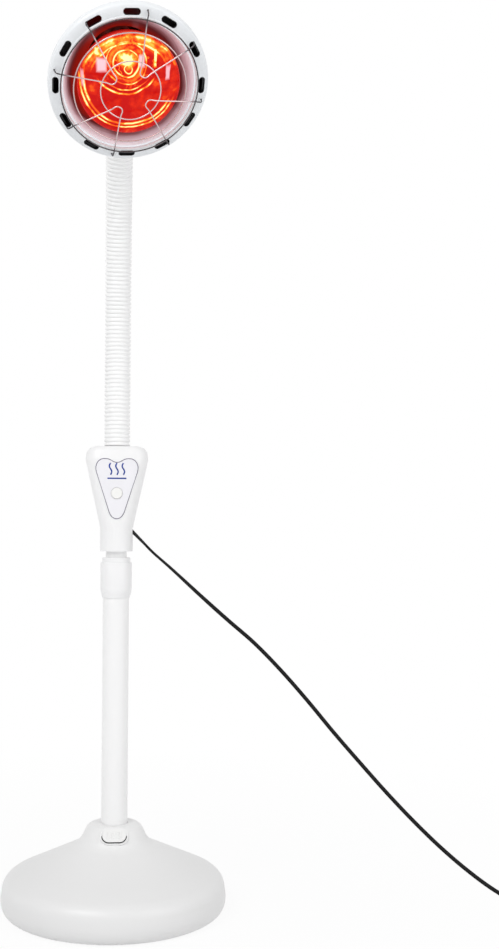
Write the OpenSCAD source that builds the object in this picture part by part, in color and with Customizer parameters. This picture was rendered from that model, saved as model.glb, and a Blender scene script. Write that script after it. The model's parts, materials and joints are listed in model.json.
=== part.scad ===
// Infrared heat therapy lamp on a telescopic floor stand with a gooseneck.
// Millimetres, +Z up, -Y towards the user. The origin is on the floor, on the post's axis.

/* [Base] */
// Diameter of the round foot at its widest edge
base_d = 298; // [220:1:400]
// Height of that widest edge above the floor
base_edge_z = 20; // [15:1:32]
// Height of the hump that the post enters
base_h = 114.5; // [100:0.5:150]
// Wall of the foot's cover
base_wall = 3; // [2:0.5:4]
// Width of the free rim round the cast weight
weight_rim = 19.5; // [15:0.5:40]
// Thickness of the cast weight
weight_t = 14; // [8:1:16]

/* [Post] */
// Outer diameter of the outer tube
post_d = 35; // [30:0.5:45]
// Wall of the bush between the two tubes
bush_wall = 2; // [1:0.1:3]
// Wall of both tubes
tube_wall = 1.5; // [1:0.1:1.5]
// Height of the outer tube's top end
post_top = 428.5; // [300:0.5:600]
// How far the inner tube can be drawn out
post_travel = 220; // [50:1:220]
// How far the twist collar stands out from the outer tube
collar_wall = 3.5; // [3:0.1:8]
// Height of the twist collar
collar_h = 53.5; // [50:0.5:70]

/* [Control box] */
// Width of the box near its top
box_w = 84; // [66:1:110]
// Depth of the box near its top
box_depth = 54; // [48:1:80]
// Height of the box above its neck
box_h = 109; // [100:1:150]
// Wall of the clamp ring in the box's neck
clamp_wall = 5.2; // [4.5:0.1:7]
// Wall of the box
box_wall = 2.5; // [2:0.1:3]
// Diameter of the round push button
button_d = 15; // [10:0.5:20]

/* [Gooseneck] */
// Outer diameter of the corrugated sleeve
hose_d = 35; // [32:0.5:40]
// Straight length above the box at rest
neck_straight = 104.5; // [60:0.5:160]
// Radius of the bend at rest
neck_bend_r = 446; // [350:1:700]
// Lean of the neck's top end at rest, in degrees
neck_lean = 44.4; // [30:0.1:50]

/* [Head] */
// Width of the front ring's flange
ring_w = 15; // [13:0.25:24]
// Width of the gap between the bulb and the ring
mouth_gap = 18.5; // [12:0.5:24]
// Room in the housing behind the bulb's cap
back_room = 27; // [22:1:50]
// Wall of the housing
head_wall = 2.5; // [2:0.1:3]
// Turn of the head to its right at rest, in degrees
head_swivel = 7; // [0:0.5:20]
// Widest diameter of the bulb
bulb_d = 121; // [95:0.5:150]
// Length of the bulb behind its widest circle, with its cap
bulb_l = 123; // [102:1:150]
// Number of air slots in the front ring
slot_count = 12; // [6:1:16]
// Diameter of the guard's wire
guard_wire_d = 1.6; // [1.2:0.1:3]

/* [Cord] */
// Width of the flat lead
cord_d = 5.4; // [4:0.1:7]

/* [Hidden] */
$fn = 72;
fit = 0.1;              // radial play of a sliding fit
gap = 0.3;              // play between pieces of different bodies
seat_gap = 0.05;        // play between pieces that are fixed together
eps = 0.01;

// Base
base_r = base_d / 2;
foot_r = base_r - 10;
pad_t = 1.5;
plate_t = 3;
plate_r = foot_r - base_wall - 0.5;
plate_top = pad_t + plate_t;
weight_r = plate_r - weight_rim;
weight_top = plate_top + weight_t;
hump_top_r = post_d / 2 + 8;
hump_side = [post_d / 2 + 18, base_h - 3];
hump_foot = [post_d / 2 + 29.5, base_h - 25];
shoulder = [base_r - 13, base_edge_z + 29];
socket_wall = 4.4;
socket_r = post_d / 2 + socket_wall;
screw_ring_r = socket_r + 13.1;
socket_flange_r = screw_ring_r + 11;
socket_flange_t = 5;
socket_top = base_h - base_wall - 3;
boss_ring_r = base_r - 26;
boss_count = 6;
boss_r = 5;
screw_count = 4;
screw_r = 2.5;
screw_head_r = 4.6;
screw_head_h = 1.4;
// Release button on the hump's front flank
flank_tilt = 52;
release_size = [31, 17.5];
release_spot = [0, -post_d / 2 - 20, base_h - 9];
release_travel = 3;
release_proud = 2.2;
release_body = 11;
release_rim = 2;
release_flange_t = 1.6;
bezel = 3;
spring_l = 13;

// Post
post_r = post_d / 2;
post_bore = post_r - tube_wall;
post_foot = weight_top + socket_flange_t;
inner_r = post_bore - bush_wall;
inner_bore = inner_r - tube_wall;
collar_z = post_top - 15;
collar_top = collar_z + collar_h;
collar_r = post_r + collar_wall;
ferrule_r = post_r + 1.7;
ferrule_z = collar_z + 7;
ferrule_top = collar_top - 9;
bush_h = 40;
bush_z = post_top - post_travel - bush_h - 16;
inner_post_foot = bush_z + 4;

// Control box
box_neck_z = collar_top + 8.5;
box_neck_h = 31.5;
box_z = box_neck_z + box_neck_h;
box_top = box_z + box_h;
box_neck_r = inner_r + clamp_wall + gap + box_wall;
box_wide_z = box_z + box_h - 18;
box_corner = 20;
// Places of the screw posts, as shares of the box's width and height
BOX_POSTS = [[-0.286, 0.596], [0.286, 0.596], [-0.185, 0.22], [0.185, 0.22]];
box_boss_r = 4;
inner_post_top = box_z + BOX_POSTS[2][1] * box_h - box_boss_r - 2;
panel_t = 0.8;
panel_w = box_w - 25.6;
panel_h = box_h - 27;
panel_z = box_top - 16 - panel_h / 2;
button_z = box_z + 46;
button_travel = 2;
button_r = button_d / 2;
button_skin = box_neck_r + (box_depth / 2 - box_neck_r) * (button_z - box_z) / (box_wide_z - box_z);
button_front = button_skin + panel_t + 1.5;
button_back = button_skin - 4.7;
clamp_z = box_neck_z + 4;
clamp_h = 22;
frame_y = inner_r + 0.2;
frame_t = 2.5;
anchor_h = 22;
anchor_top = box_top - 4.5;
hose_seat = 4;          // depth of the anchor's seat for the hose
board_y = 3;
board_t = 1.6;
board_w = 38;
board_h = 30;
board_z = box_z + 30;
frame_w = 16;
frame_top = box_top - 8.7;
relief_r = 4.5;
relief_l = 23;
relief_root = 4;        // how deep its round foot sits in the box
relief_tilt = 135;
relief_heading = -6;
relief_spot = [box_neck_r - 0.5, 0, box_z - 5];
relief_way = [sin(relief_tilt) * cos(relief_heading), sin(relief_tilt) * sin(relief_heading), cos(relief_tilt)];

// Gooseneck
neck_links = 8;
neck_len = neck_straight + neck_bend_r * neck_lean * PI / 180;
link_len = neck_len / neck_links;
hose_r = hose_d / 2;
ribs_per_link = 10;
rib_pitch = link_len / ribs_per_link;
rib_depth = 1.7;
hose_bore = hose_r - 3.3;
joint_gap = rib_pitch / 2;  // from a joint's centre to the hose end on each side
core_r = hose_r - 7.5;
ball_r = core_r - 1;
core_bore = ball_r / 2;
socket_rim = 2.6;
top_ferrule_h = 8;
top_flange_t = 1.5;
top_kink = link_len / neck_bend_r * 90 / PI;  // angle between the last link and the neck's end
spigot_r = 8;
head_boss_l = 22;       // from the neck's top end to the housing's skin

// Head, on the lamp's own axis: s runs forward from the front ring's widest circle
mouth_r = bulb_d / 2 + mouth_gap;
head_r = mouth_r + ring_w;
head_depth = bulb_l + back_room;
neck_s = 65 - head_depth;   // where the neck's axis crosses the lamp's axis
axis_h = head_r - 44;    // from that skin to the lamp's axis
lip_s = 5.5;            // front lip of the ring
skirt_s = -8;           // seam between ring and housing
lip_back = 4;           // from the lip's front to the bowl's flange
slot_l = 19.8;
slot_w = 7.5;
slot_r = (head_r + mouth_r) / 2 - 1;
slot_turn = 1.4;
bulb_r = bulb_d / 2;
bulb_lens = 12;
glass_t = 2;
cap_r = 13.2;
cap_l = 27;
cap_s = -bulb_l;
neck_glass_r = 19;
filament_s = -50;
holder_r = 22;
holder_s = [-bulb_l - 15, -bulb_l + 24];
guard_s = 22.5;         // height of the guard's middle over the widest circle
guard_ring_r = mouth_r + 1.3;
guard_rim_s = lip_s + 6.6;
guard_mid_r = mouth_r - 13.5;
guard_inner_r = mouth_r - 44;
guard_tip_r = mouth_r - 57;
guard_foot_r = head_r - 5.5;
petal_count = 4;
petal_turn = 55.3;
petal_half = 21.6;
petal_foot = guard_foot_r * [cos(petal_half), sin(petal_half)];

// Cord: the route hangs from the strain relief and runs along the floor into the coil
cord_r = cord_d / 2;
cord_exit = relief_spot + (relief_l + 2 * gap) * relief_way;
cord_route = [
  cord_exit, cord_exit + 17.5 * relief_way, [75, -6, 451.5], [115, -10, 415], [150, -14, 384],
  [185, -18, 354], [220, -22, 318.5], [255, -26, 279], [290, -30, 237], [325, -34, 197],
  [360, -38, 158], [395, -42, 121.5], [430, -46, 88], [465, -50, 58.5], [500, -54, 33.5],
  [535, -58, 15], [565, -61, 5.5], [590, -63, 2.9], [604, -63, 2.7]
];
coil_at = [604, -27.5];
coil_turn_r = 30;       // middle of the turns
coil_pitch = cord_d + 0.1;
coil_layers = 2;
tail_route = [[639.5, -20, 8.1], [639.5, -8, 8], [639.5, 4, 7.6], [639.5, 15, 7.1], [639.5, 24, 6.9]];
plug_at = [639.5, 24, 6.85];
plug_t = 13.7;
plug_w = 35.3;
plug_l = 36;
pin_gap = 18.6;
pin_l = 19;
pin_r = 2;
pin_sleeve_r = pin_r - 0.25;
pin_core_r = pin_r - 0.6;

// ---------- shared shapes ----------

// Points of a curve from a to c that bends towards b
function bend(a, b, c, n) = [for (i = [0:n]) let (t = i / n) (1-t)*(1-t)*a + 2*t*(1-t)*b + t*t*c];

// Round bar, or a tube when bore is given
module tube(r, h, bore = 0) {
  difference() {
    cylinder(r = r, h = h);
    if (bore > 0) translate([0, 0, -1]) cylinder(r = bore, h = h + 2);
  }
}

// Flat shape with two round ends, lying along X
module stadium(l, w) {
  square([l - w, w], center = true);
  for (side = [-1, 1]) translate([side * (l - w) / 2, 0]) circle(d = w);
}

// Copies spread evenly around Z
module around(n, start = 0) {
  for (i = [0:n-1]) rotate([0, 0, start + i * 360 / n]) children();
}

function unit(v) = v / norm(v);
function across(d) = unit(cross(abs(d[2]) > 0.95 ? [1, 0, 0] : [0, 0, 1], d));
function ring_at(p, d, r, n) =
  let (a = across(d), b = cross(d, a))
  [for (i = [0:n-1]) p + r * cos(360 * i / n) * a + r * sin(360 * i / n) * b];

// A point between b and c on a smooth curve that passes through a, b, c and d
function between(a, b, c, d, t) =
  0.5 * (2*b + (c - a)*t + (2*a - 5*b + 4*c - d)*t*t + (3*b - a - 3*c + d)*t*t*t);
function smooth(path, n) =
  let (last = len(path) - 1)
  [for (i = [0:last-1]) for (j = [0:n-1])
     between(path[max(i-1, 0)], path[i], path[i+1], path[min(i+2, last)], j / n), path[last]];

// Round bar swept along a list of points
module sweep(path, r, n) {
  last = len(path) - 1;
  points = [for (i = [0:last])
    each ring_at(path[i], unit(path[min(i+1, last)] - path[max(i-1, 0)]), r, n)];
  sides = [for (i = [0:last-1]) for (j = [0:n-1]) let (k = (j + 1) % n)
    each [[i*n + j, (i+1)*n + j, (i+1)*n + k], [i*n + j, (i+1)*n + k, i*n + k]]];
  ends = [[for (j = [0:n-1]) j], [for (j = [n-1:-1:0]) last*n + j]];
  polyhedron(points, concat(sides, ends));
}

// Coil spring standing on Z
module spring(r, wire_r, l, turns) {
  steps = 10 * turns;
  sweep([for (i = [0:steps]) [r * cos(36*i), r * sin(36*i), wire_r + (l - 2*wire_r) * i / steps]],
        wire_r, 6);
}

// ---------- base ----------

// Outline of the foot from its lower edge to the hump's top, drawn in by w
function foot_outline(w) = concat(
  bend([foot_r - w, pad_t + w], [base_r - w, pad_t + 4 + w/2], [base_r - w, base_edge_z], 8),
  bend([base_r - 1.5 - w, base_edge_z + 12], [base_r - 2.5 - w, shoulder[1] - 6 - w/2],
       [shoulder[0] - w/2, shoulder[1] - w], 10),
  bend([hump_foot[0] + 9, hump_foot[1] - 4 - w], hump_foot - [w/2, w], hump_foot + [-4.5 - w, 8.5 - w/2], 6),
  bend([hump_side[0] + 2.5 - w, hump_side[1] - 4.5], [hump_side[0] - 1 - w, base_h - w/2],
       [hump_top_r - w, base_h - w], 6)
);

module at_release() {
  translate(release_spot) rotate([flank_tilt, 0, 0]) children();
}

module release_oval(extra, z0, z1) {
  translate([0, 0, z0]) linear_extrude(z1 - z0)
    stadium(release_size[0] + 2*extra, release_size[1] + 2*extra);
}

module base_pad() {
  color("dimgray") tube(plate_r - 2, pad_t);
}

module base_plate() {
  color("gray") difference() {
    translate([0, 0, pad_t]) tube(plate_r, plate_t);
    for (p = [[boss_count, 0, boss_ring_r], [screw_count, 45, screw_ring_r]])
      around(p[0], p[1]) translate([p[2], 0, 0]) cylinder(r = screw_head_r + gap, h = pad_t + screw_head_h);
    around(boss_count) translate([boss_ring_r, 0, 0]) cylinder(r = screw_r + gap, h = 3*plate_t);
    around(screw_count, 45) translate([screw_ring_r, 0, 0]) cylinder(r = screw_r + gap, h = 3*plate_t);
  }
}

module base_weight() {
  color("slategray") difference() {
    translate([0, 0, plate_top]) tube(weight_r, weight_t);
    around(screw_count, 45) translate([screw_ring_r, 0, 0]) cylinder(r = screw_r + gap, h = 2*weight_top);
    around(boss_count) translate([boss_ring_r, 0, 0]) cylinder(r = boss_r + 1, h = 2*weight_top);
  }
}

module base_cover() {
  color("whitesmoke") difference() {
    union() {
      difference() {
        rotate_extrude() polygon(concat(foot_outline(0), [[0, base_h], [0, pad_t]]));
        rotate_extrude() polygon(concat([[foot_r - base_wall, 0]], foot_outline(base_wall),
                                        [[0, base_h - base_wall], [0, 0]]));
      }
      intersection() {
        rotate_extrude() polygon(concat(foot_outline(eps), [[0, base_h], [0, pad_t]]));
        around(boss_count) translate([boss_ring_r, 0, plate_top]) cylinder(r = boss_r, h = base_h);
      }
      at_release() release_oval(bezel, -release_body + release_rim, 1);
    }
    translate([0, 0, base_h / 2]) cylinder(r = post_r + gap, h = base_h);
    at_release() release_oval(gap, -2 * release_body, release_body);
    around(boss_count) translate([boss_ring_r, 0, 0]) cylinder(r = screw_r - 0.4, h = plate_top + 16);
  }
}

// Screw pointing up, its head's underside at z = 0
module screw_up(l, r) {
  cylinder(r = r, h = l);
  translate([0, 0, -screw_head_h]) cylinder(r = screw_head_r, h = screw_head_h);
}

module base_screws() {
  color("silver") {
    around(boss_count) translate([boss_ring_r, 0, pad_t + screw_head_h])
      screw_up(plate_t + 12, screw_r - 0.5);
    around(screw_count, 45) translate([screw_ring_r, 0, pad_t + screw_head_h])
      screw_up(plate_t + weight_t + socket_flange_t - screw_head_h, screw_r - 0.1);
  }
}

module post_socket() {
  color("darkgray") difference() {
    union() {
      translate([0, 0, weight_top]) cylinder(r = socket_flange_r, h = socket_flange_t);
      translate([0, 0, weight_top]) cylinder(r = socket_r, h = socket_top - weight_top);
      at_release() translate([0, 0, -45]) cylinder(r = 5.2, h = 43 - spring_l - seat_gap);
      around(4) translate([0, -1.5, weight_top]) rotate([90, 0, 90])
        linear_extrude(socket_flange_r - 3) polygon([[0, 0], [3, 0], [3, 30], [0, 30]]);
    }
    translate([0, 0, post_foot]) cylinder(r = post_r + seat_gap, h = socket_top);
    translate([0, 0, 0]) cylinder(r = post_bore - 4, h = socket_top);
    around(screw_count, 45) translate([screw_ring_r, 0, 0]) cylinder(r = screw_r, h = 2*weight_top);
    at_release() release_oval(release_rim + gap, -release_body - release_travel - gap, 20);
    translate([0, 0, weight_top + 30]) difference() {
      cylinder(r = 2 * socket_flange_r, h = 1);
      cylinder(r = socket_r, h = 1);
    }
  }
}

module lower_post() {
  color("white") translate([0, 0, post_foot]) tube(post_r, post_top - post_foot, post_bore);
}

// Ferrule on the outer tube, split into four fingers that grip the inner tube
module post_ferrule() {
  color("lightgray") difference() {
    union() {
      translate([0, 0, ferrule_z]) cylinder(r = ferrule_r, h = ferrule_top - ferrule_z - 8);
      translate([0, 0, ferrule_top - 8]) cylinder(r1 = ferrule_r, r2 = ferrule_r - 1.5, h = 8);
    }
    translate([0, 0, ferrule_z - 1]) cylinder(r = post_r + seat_gap, h = post_top - ferrule_z + 1);
    cylinder(r = inner_r + fit, h = ferrule_top + 1);
    around(2) translate([-collar_r, -1, post_top + 6]) cube([2*collar_r, 2, collar_h]);
  }
}

module release_button() {
  color("white") at_release() {
    difference() {
      union() {
        release_oval(0, -release_body, release_proud);
        release_oval(release_rim, -release_body, -release_body + release_flange_t);
      }
      release_oval(-3, -release_body - 1, -2);
    }
    for (i = [-3:3]) translate([i * 3, 0, release_proud]) rotate([90, 0, 0])
      cylinder(r = 0.7, h = 9, center = true);
  }
}

module release_spring() {
  color("silver") at_release() translate([0, 0, -2 - spring_l]) spring(4, 0.6, spring_l, 5);
}

// ---------- post ----------

module lock_collar() {
  color("white") difference() {
    rotate_extrude() polygon(concat(
      [[0, collar_z], [post_r + 1, collar_z]],
      bend([post_r + 1, collar_z + 1], [collar_r, collar_z + 7], [collar_r, collar_z + 13], 5),
      bend([collar_r, collar_top - 8], [collar_r, collar_top - 6.4], [collar_r - 1.4, collar_top - 6], 3),
      [[collar_r - 2, collar_top - 6], [collar_r - 2, collar_top - 1], [collar_r - 2.8, collar_top],
       [0, collar_top]]));
    translate([0, 0, collar_z - 1]) cylinder(r = post_r + gap, h = collar_h);
    translate([0, 0, ferrule_z - gap]) cylinder(r = ferrule_r + gap, h = ferrule_top - ferrule_z + 2*gap);
    cylinder(r = inner_r + gap, h = collar_top + 1);
  }
}

module upper_post() {
  color("white") translate([0, 0, inner_post_foot])
    tube(inner_r, inner_post_top - inner_post_foot, inner_bore);
}

module guide_bush() {
  color("dimgray") difference() {
    translate([0, 0, bush_z]) cylinder(r = post_bore - fit, h = bush_h);
    translate([0, 0, inner_post_foot]) cylinder(r = inner_r + seat_gap, h = bush_h);
    cylinder(r = inner_bore, h = bush_z + bush_h);
  }
}

// ---------- control box ----------

module round_slab(w, d, corner, z) {
  translate([0, 0, z]) linear_extrude(eps)
    for (x = [-1, 1], y = [-1, 1]) translate([x * (w/2 - corner), y * (d/2 - corner)])
      circle(r = corner, $fn = 32);
}

// Solid form of the box, drawn in by t
module box_form(t) {
  hull() {
    translate([0, 0, box_z + (t > 0 ? t : 0)]) cylinder(r = box_neck_r - t, h = eps, $fn = 32);
    round_slab(box_w - 2*t, box_depth - 2*t, box_corner - t, box_wide_z);
    round_slab(box_w - 3 - 2*t, box_depth - 2 - 2*t, box_corner - t, box_top - 7 - t/2);
    round_slab(box_w - 11 - 2*t, box_depth - 7 - 2*t, box_corner - 2 - t, box_top - 2.2 - t);
    round_slab(box_w - 23 - 2*t, box_depth - 13 - 2*t, box_corner - 6 - t, box_top - t - eps);
  }
}

module box_post_places() {
  for (p = BOX_POSTS) translate([p[0] * box_w, 0, box_z + p[1] * box_h]) children();
}

module box_half(front) {
  side = front ? 1 : -1;
  difference() {
    union() {
      difference() {
        union() {
          box_form(0);
          translate([0, 0, box_neck_z]) cylinder(r = box_neck_r, h = box_neck_h + 1);
        }
        box_form(box_wall);
        translate([0, 0, box_neck_z + 4]) cylinder(r = box_neck_r - box_wall, h = box_neck_h);
      }
      intersection() {
        box_form(eps);
        box_post_places() rotate([90 * side, 0, 0]) cylinder(r = box_boss_r, h = box_depth);
      }
    }
    translate([-box_w, front ? 0 : -box_depth, 0]) cube([2*box_w, box_depth, box_top + 1]);
    cylinder(r = inner_r + seat_gap, h = box_z);
    translate([0, 0, box_top - 10]) cylinder(r = hose_r + seat_gap, h = 20);
    at_relief() cylinder(r = relief_r + 0.2, h = 20, center = true);
    if (front) {
      translate([0, 0, button_z]) rotate([90, 0, 0]) cylinder(r = button_r + gap, h = box_depth);
      box_post_places() rotate([90, 0, 0]) cylinder(r = 1.4, h = 12);
    } else {
      box_post_places() rotate([-90, 0, 0]) cylinder(r = 1.9, h = box_depth);
      box_post_places() translate([0, 9, 0]) rotate([-90, 0, 0]) cylinder(r = 3.4, h = box_depth);
    }
  }
}

module box_front_shell() {
  color("white") box_half(true);
}

module box_rear_shell() {
  color("white") box_half(false);
}

module box_screws() {
  color("silver") box_post_places() {
    translate([0, 9, 0]) rotate([90, 0, 0]) cylinder(r = 1.4, h = 9 + 11);
    translate([0, 9, 0]) rotate([-90, 0, 0]) cylinder(r = 3, h = 2);
  }
}

// Shield outline of the face plate: two round lobes over a round tip, centred on x = 0
function shield_half(w, h) = concat(
  bend([0, h*0.938], [w*0.06, h*0.938], [w*0.13, h*0.97], 3),
  bend([w*0.14, h*0.974], [w*0.2, h], [w*0.27, h], 3),
  bend([w*0.3, h], [w*0.43, h], [w*0.485, h*0.905], 6),
  bend([w*0.49, h*0.89], [w*0.51, h*0.85], [w*0.48, h*0.77], 4),
  bend([w*0.2, h*0.16], [w*0.14, 0], [0, 0], 7)
);

module panel_overlay() {
  half = shield_half(panel_w, panel_h);
  color("lavender") difference() {
    intersection() {
      box_form(-panel_t);
      translate([0, 0, panel_z - panel_h / 2]) rotate([90, 0, 0]) linear_extrude(box_depth)
        polygon(concat(half, [for (i = [len(half)-1:-1:0]) [-half[i][0], half[i][1]]]));
    }
    box_form(0);
    translate([0, 0, button_z]) rotate([90, 0, 0]) cylinder(r = button_r + gap, h = box_depth);
  }
}

module power_button() {
  color("ivory") translate([0, 0, button_z]) rotate([90, 0, 0]) {
    translate([0, 0, button_back]) cylinder(r = button_r, h = button_front - button_back - 0.8);
    translate([0, 0, button_front - 0.8]) cylinder(r1 = button_r, r2 = button_r - 0.8, h = 0.8);
    translate([0, 0, button_back]) cylinder(r = button_r + 1.5, h = 1.2);
    translate([0, 0, button_back - 2]) cylinder(r = 3, h = 2.5);
  }
}

module circuit_board() {
  color("darkgreen") translate([-board_w / 2, board_y, board_z]) cube([board_w, board_t, board_h]);
}

module switch_body() {
  switch_front = button_back - 2 - button_travel - gap;
  color("darkslategray") translate([-8, -switch_front + 2, button_z - 7])
    cube([16, switch_front - 2 + board_y, 14]);
  color("darkslategray") translate([0, board_y, button_z]) rotate([90, 0, 0])
    cylinder(r = 2.5, h = switch_front + board_y);
}

// Steel strip that joins the inner tube's clamp to the neck's anchor and carries the board
module box_frame() {
  color("silver") {
    difference() {
      translate([-frame_w / 2, frame_y, clamp_z + 1]) cube([frame_w, frame_t, frame_top - clamp_z - 1]);
      for (z = [clamp_z + 11, frame_top - 5]) translate([0, 0, z]) rotate([-90, 0, 0])
        cylinder(r = 2, h = 2 * frame_y);
    }
    for (x = [-5, 5], z = [board_z + 4, board_z + board_h - 4]) translate([x, board_y + board_t, z])
      rotate([-90, 0, 0]) cylinder(r = 2.5, h = frame_y + 1 - board_y - board_t);
  }
}

// Ring that grips the inner tube inside the box's neck
module post_clamp() {
  color("dimgray") difference() {
    translate([0, 0, clamp_z]) cylinder(r = box_neck_r - box_wall - gap, h = clamp_h);
    cylinder(r = inner_r + seat_gap, h = box_z);
    translate([-frame_w/2 - seat_gap, frame_y - seat_gap, 0]) cube([frame_w + 2*seat_gap, 3*frame_t, box_z]);
    at_relief() cylinder(r = relief_r + 0.5, h = 20, center = true);
  }
}

// Block under the box's top that holds the first link of the gooseneck
module neck_anchor() {
  color("dimgray") difference() {
    translate([0, 0, anchor_top - anchor_h]) cylinder(r = hose_r + 1.5, h = anchor_h);
    cylinder(r = core_r + seat_gap, h = box_top);
    translate([0, 0, anchor_top - hose_seat]) cylinder(r = hose_r - rib_depth + seat_gap, h = hose_seat + 1);
    translate([-frame_w/2 - seat_gap, frame_y - seat_gap, 0])
      cube([frame_w + 2*seat_gap, 3*frame_t, frame_top + seat_gap]);
  }
}

module at_relief() {
  translate(relief_spot) rotate([0, 0, relief_heading]) rotate([0, relief_tilt, 0]) children();
}

// Tapered rubber sleeve where the lead leaves the box
module strain_relief() {
  color("black") at_relief() {
    translate([0, 0, -relief_root]) cylinder(r = relief_r, h = relief_root);
    cylinder(r1 = relief_r, r2 = cord_r + 0.8, h = relief_l);
  }
}

// ---------- gooseneck ----------

function neck_angle(s) = s <= neck_straight ? 0 : (s - neck_straight) / neck_bend_r * 180 / PI;
function neck_point(k) =
  let (s = k * link_len, a = neck_angle(s))
  [0, -neck_bend_r * (1 - cos(a)), box_top + min(s, neck_straight) + neck_bend_r * sin(a)];
function chord(k) = norm(neck_point(k) - neck_point(k - 1));
function chord_lean(k) =
  let (d = neck_point(k) - neck_point(k - 1))
  atan2(-d[1], d[2]);

module on_link(k) {
  translate(neck_point(k - 1)) rotate([chord_lean(k), 0, 0]) children();
}

// Outline of one rib of the corrugated sleeve, with its crest at z
function rib(z) = [
  [hose_r - rib_depth, z - 0.37 * rib_pitch], [hose_r - 0.25, z - 0.23 * rib_pitch],
  [hose_r, z - 0.14 * rib_pitch], [hose_r, z + 0.14 * rib_pitch],
  [hose_r - 0.25, z + 0.23 * rib_pitch], [hose_r - rib_depth, z + 0.37 * rib_pitch]
];

module neck_hose(k) {
  l = chord(k);
  z0 = k == 1 ? anchor_top - box_top - hose_seat + seat_gap : joint_gap;
  z1 = k == neck_links ? l - top_flange_t - hose_r * sin(top_kink) - gap : l - joint_gap;
  color("white") on_link(k) difference() {
    intersection() {
      rotate_extrude() polygon(concat(
        [[hose_bore, -20], [hose_r - rib_depth, -20]],
        [for (i = [0:ribs_per_link]) each rib(i * l / ribs_per_link)],
        [[hose_r - rib_depth, l + 10], [hose_bore, l + 10]]));
      translate([0, 0, z0]) cylinder(r = 2*hose_r, h = z1 - z0);
    }
  }
}

// One metal link: a socket below, a ball on top
module neck_core(k) {
  l = chord(k);
  first = k == 1;
  final = k == neck_links;
  foot = first ? -anchor_h - 2 : 0;
  color("silver") on_link(k) difference() {
    union() {
      translate([0, 0, foot]) cylinder(r = core_r, h = l - foot - (final ? 9 : 13));
      translate([0, 0, 5]) cylinder(r = hose_bore - gap, h = 8);
      translate([0, 0, l / 2 + 4]) cylinder(r = hose_bore - gap, h = 4);
      if (!first) translate([0, 0, -socket_rim]) cylinder(r = core_r + 2, h = 10);
      if (!final) {
        translate([0, 0, l - 15]) cylinder(r = core_bore + 1.5, h = 12);
        translate([0, 0, l]) sphere(r = ball_r);
      }
    }
    translate([0, 0, foot - 1]) cylinder(r = core_bore, h = l + 40);
    if (!first) sphere(r = ball_r + gap);
    if (!first) translate([0, 0, -socket_rim - eps]) cylinder(r1 = core_r + 1, r2 = ball_r - 1.5, h = 1.6);
  }
}

// Frame of the head: origin at the neck's top end, Z along the neck, -Y forward
module on_neck_top(turned = true) {
  translate(neck_point(neck_links)) rotate([neck_lean, 0, 0]) rotate([0, 0, turned ? head_swivel : 0])
    children();
}

// Ferrule in the hose's top end, with the hollow stud that the head turns on
module neck_top_ferrule() {
  color("silver") on_neck_top(false) difference() {
    union() {
      translate([0, 0, -top_ferrule_h]) cylinder(r = hose_bore - 0.8, h = top_ferrule_h);
      translate([0, 0, -top_flange_t]) cylinder(r = hose_r + 0.5, h = top_flange_t);
      cylinder(r = spigot_r, h = head_boss_l + 20);
    }
    translate([0, 0, -20]) cylinder(r = core_bore, h = 90);
  }
}

module swivel_nut() {
  color("gold") on_neck_top() difference() {
    translate([0, 0, head_boss_l + 10 + gap]) cylinder(r = 14, h = 6, $fn = 6);
    cylinder(r = spigot_r + fit, h = 90);
  }
}

// ---------- head ----------

// Frame of the lamp: Z forward along its axis, +Y upward, origin at the front ring's widest circle
module on_lamp() {
  on_neck_top() translate([0, neck_s, head_boss_l + axis_h]) rotate([90, 0, 0]) children();
}

vent_count = 10;
vent_l = 22;
vent_w = 5;
vent_from_r = 28;
housing_steps = [
  [head_r - 1, skirt_s - gap], [head_r - 2.5, -14], [head_r - 6.5, -22], [head_r - 12.5, -33],
  [head_r - 21.5, -47], [head_r - 31.5, -61], [head_r - 40, -76], [head_r - 46.5, -92],
  [head_r - 51.5, -108], [head_r - 54.5, -122], [head_r - 56, 16 - head_depth]
];

housing_back = housing_steps[len(housing_steps) - 1][1];
housing_back_r = housing_steps[len(housing_steps) - 1][0];

function housing_outline(w) = [for (p = smooth(housing_steps, 3)) [p[0] - w, p[1]]];

// Solid form of the housing with the spigot that enters the front ring, drawn in by w
module bell(w, s_back) {
  spigot = head_r - 4.2 - w;
  step = skirt_s - gap - w;
  rotate_extrude() polygon(concat(
    [[0, skirt_s + 20], [spigot, skirt_s + 20], [spigot, step]],
    [for (p = housing_outline(w)) if (p[1] <= step) p], [[0, s_back]]));
}

module lamp_housing() {
  color("white") on_lamp() difference() {
    union() {
      difference() {
        union() {
          intersection() {
            bell(0, housing_back);
            translate([0, 0, housing_back]) cylinder(r = head_r, h = skirt_s + 6 - housing_back);
          }
          on_lamp_to_neck() translate([0, 0, gap]) cylinder(r = hose_r + 3.5, h = head_boss_l + 20);
        }
        bell(head_wall, housing_back - 1);
      }
      on_lamp_to_neck() translate([0, 0, gap]) cylinder(r = 14, h = head_boss_l + 10 - gap);
    }
    on_lamp_to_neck() cylinder(r = spigot_r + fit, h = 60);
    around(vent_count, 180 / vent_count) translate([vent_from_r, 0, housing_back + 14.5]) rotate([0, 90, 0])
      linear_extrude(head_r) stadium(vent_l, vent_w);
  }
}

// Back to the neck's frame from the lamp's
module on_lamp_to_neck() {
  rotate([-90, 0, 0]) translate([0, -neck_s, -head_boss_l - axis_h]) children();
}

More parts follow.
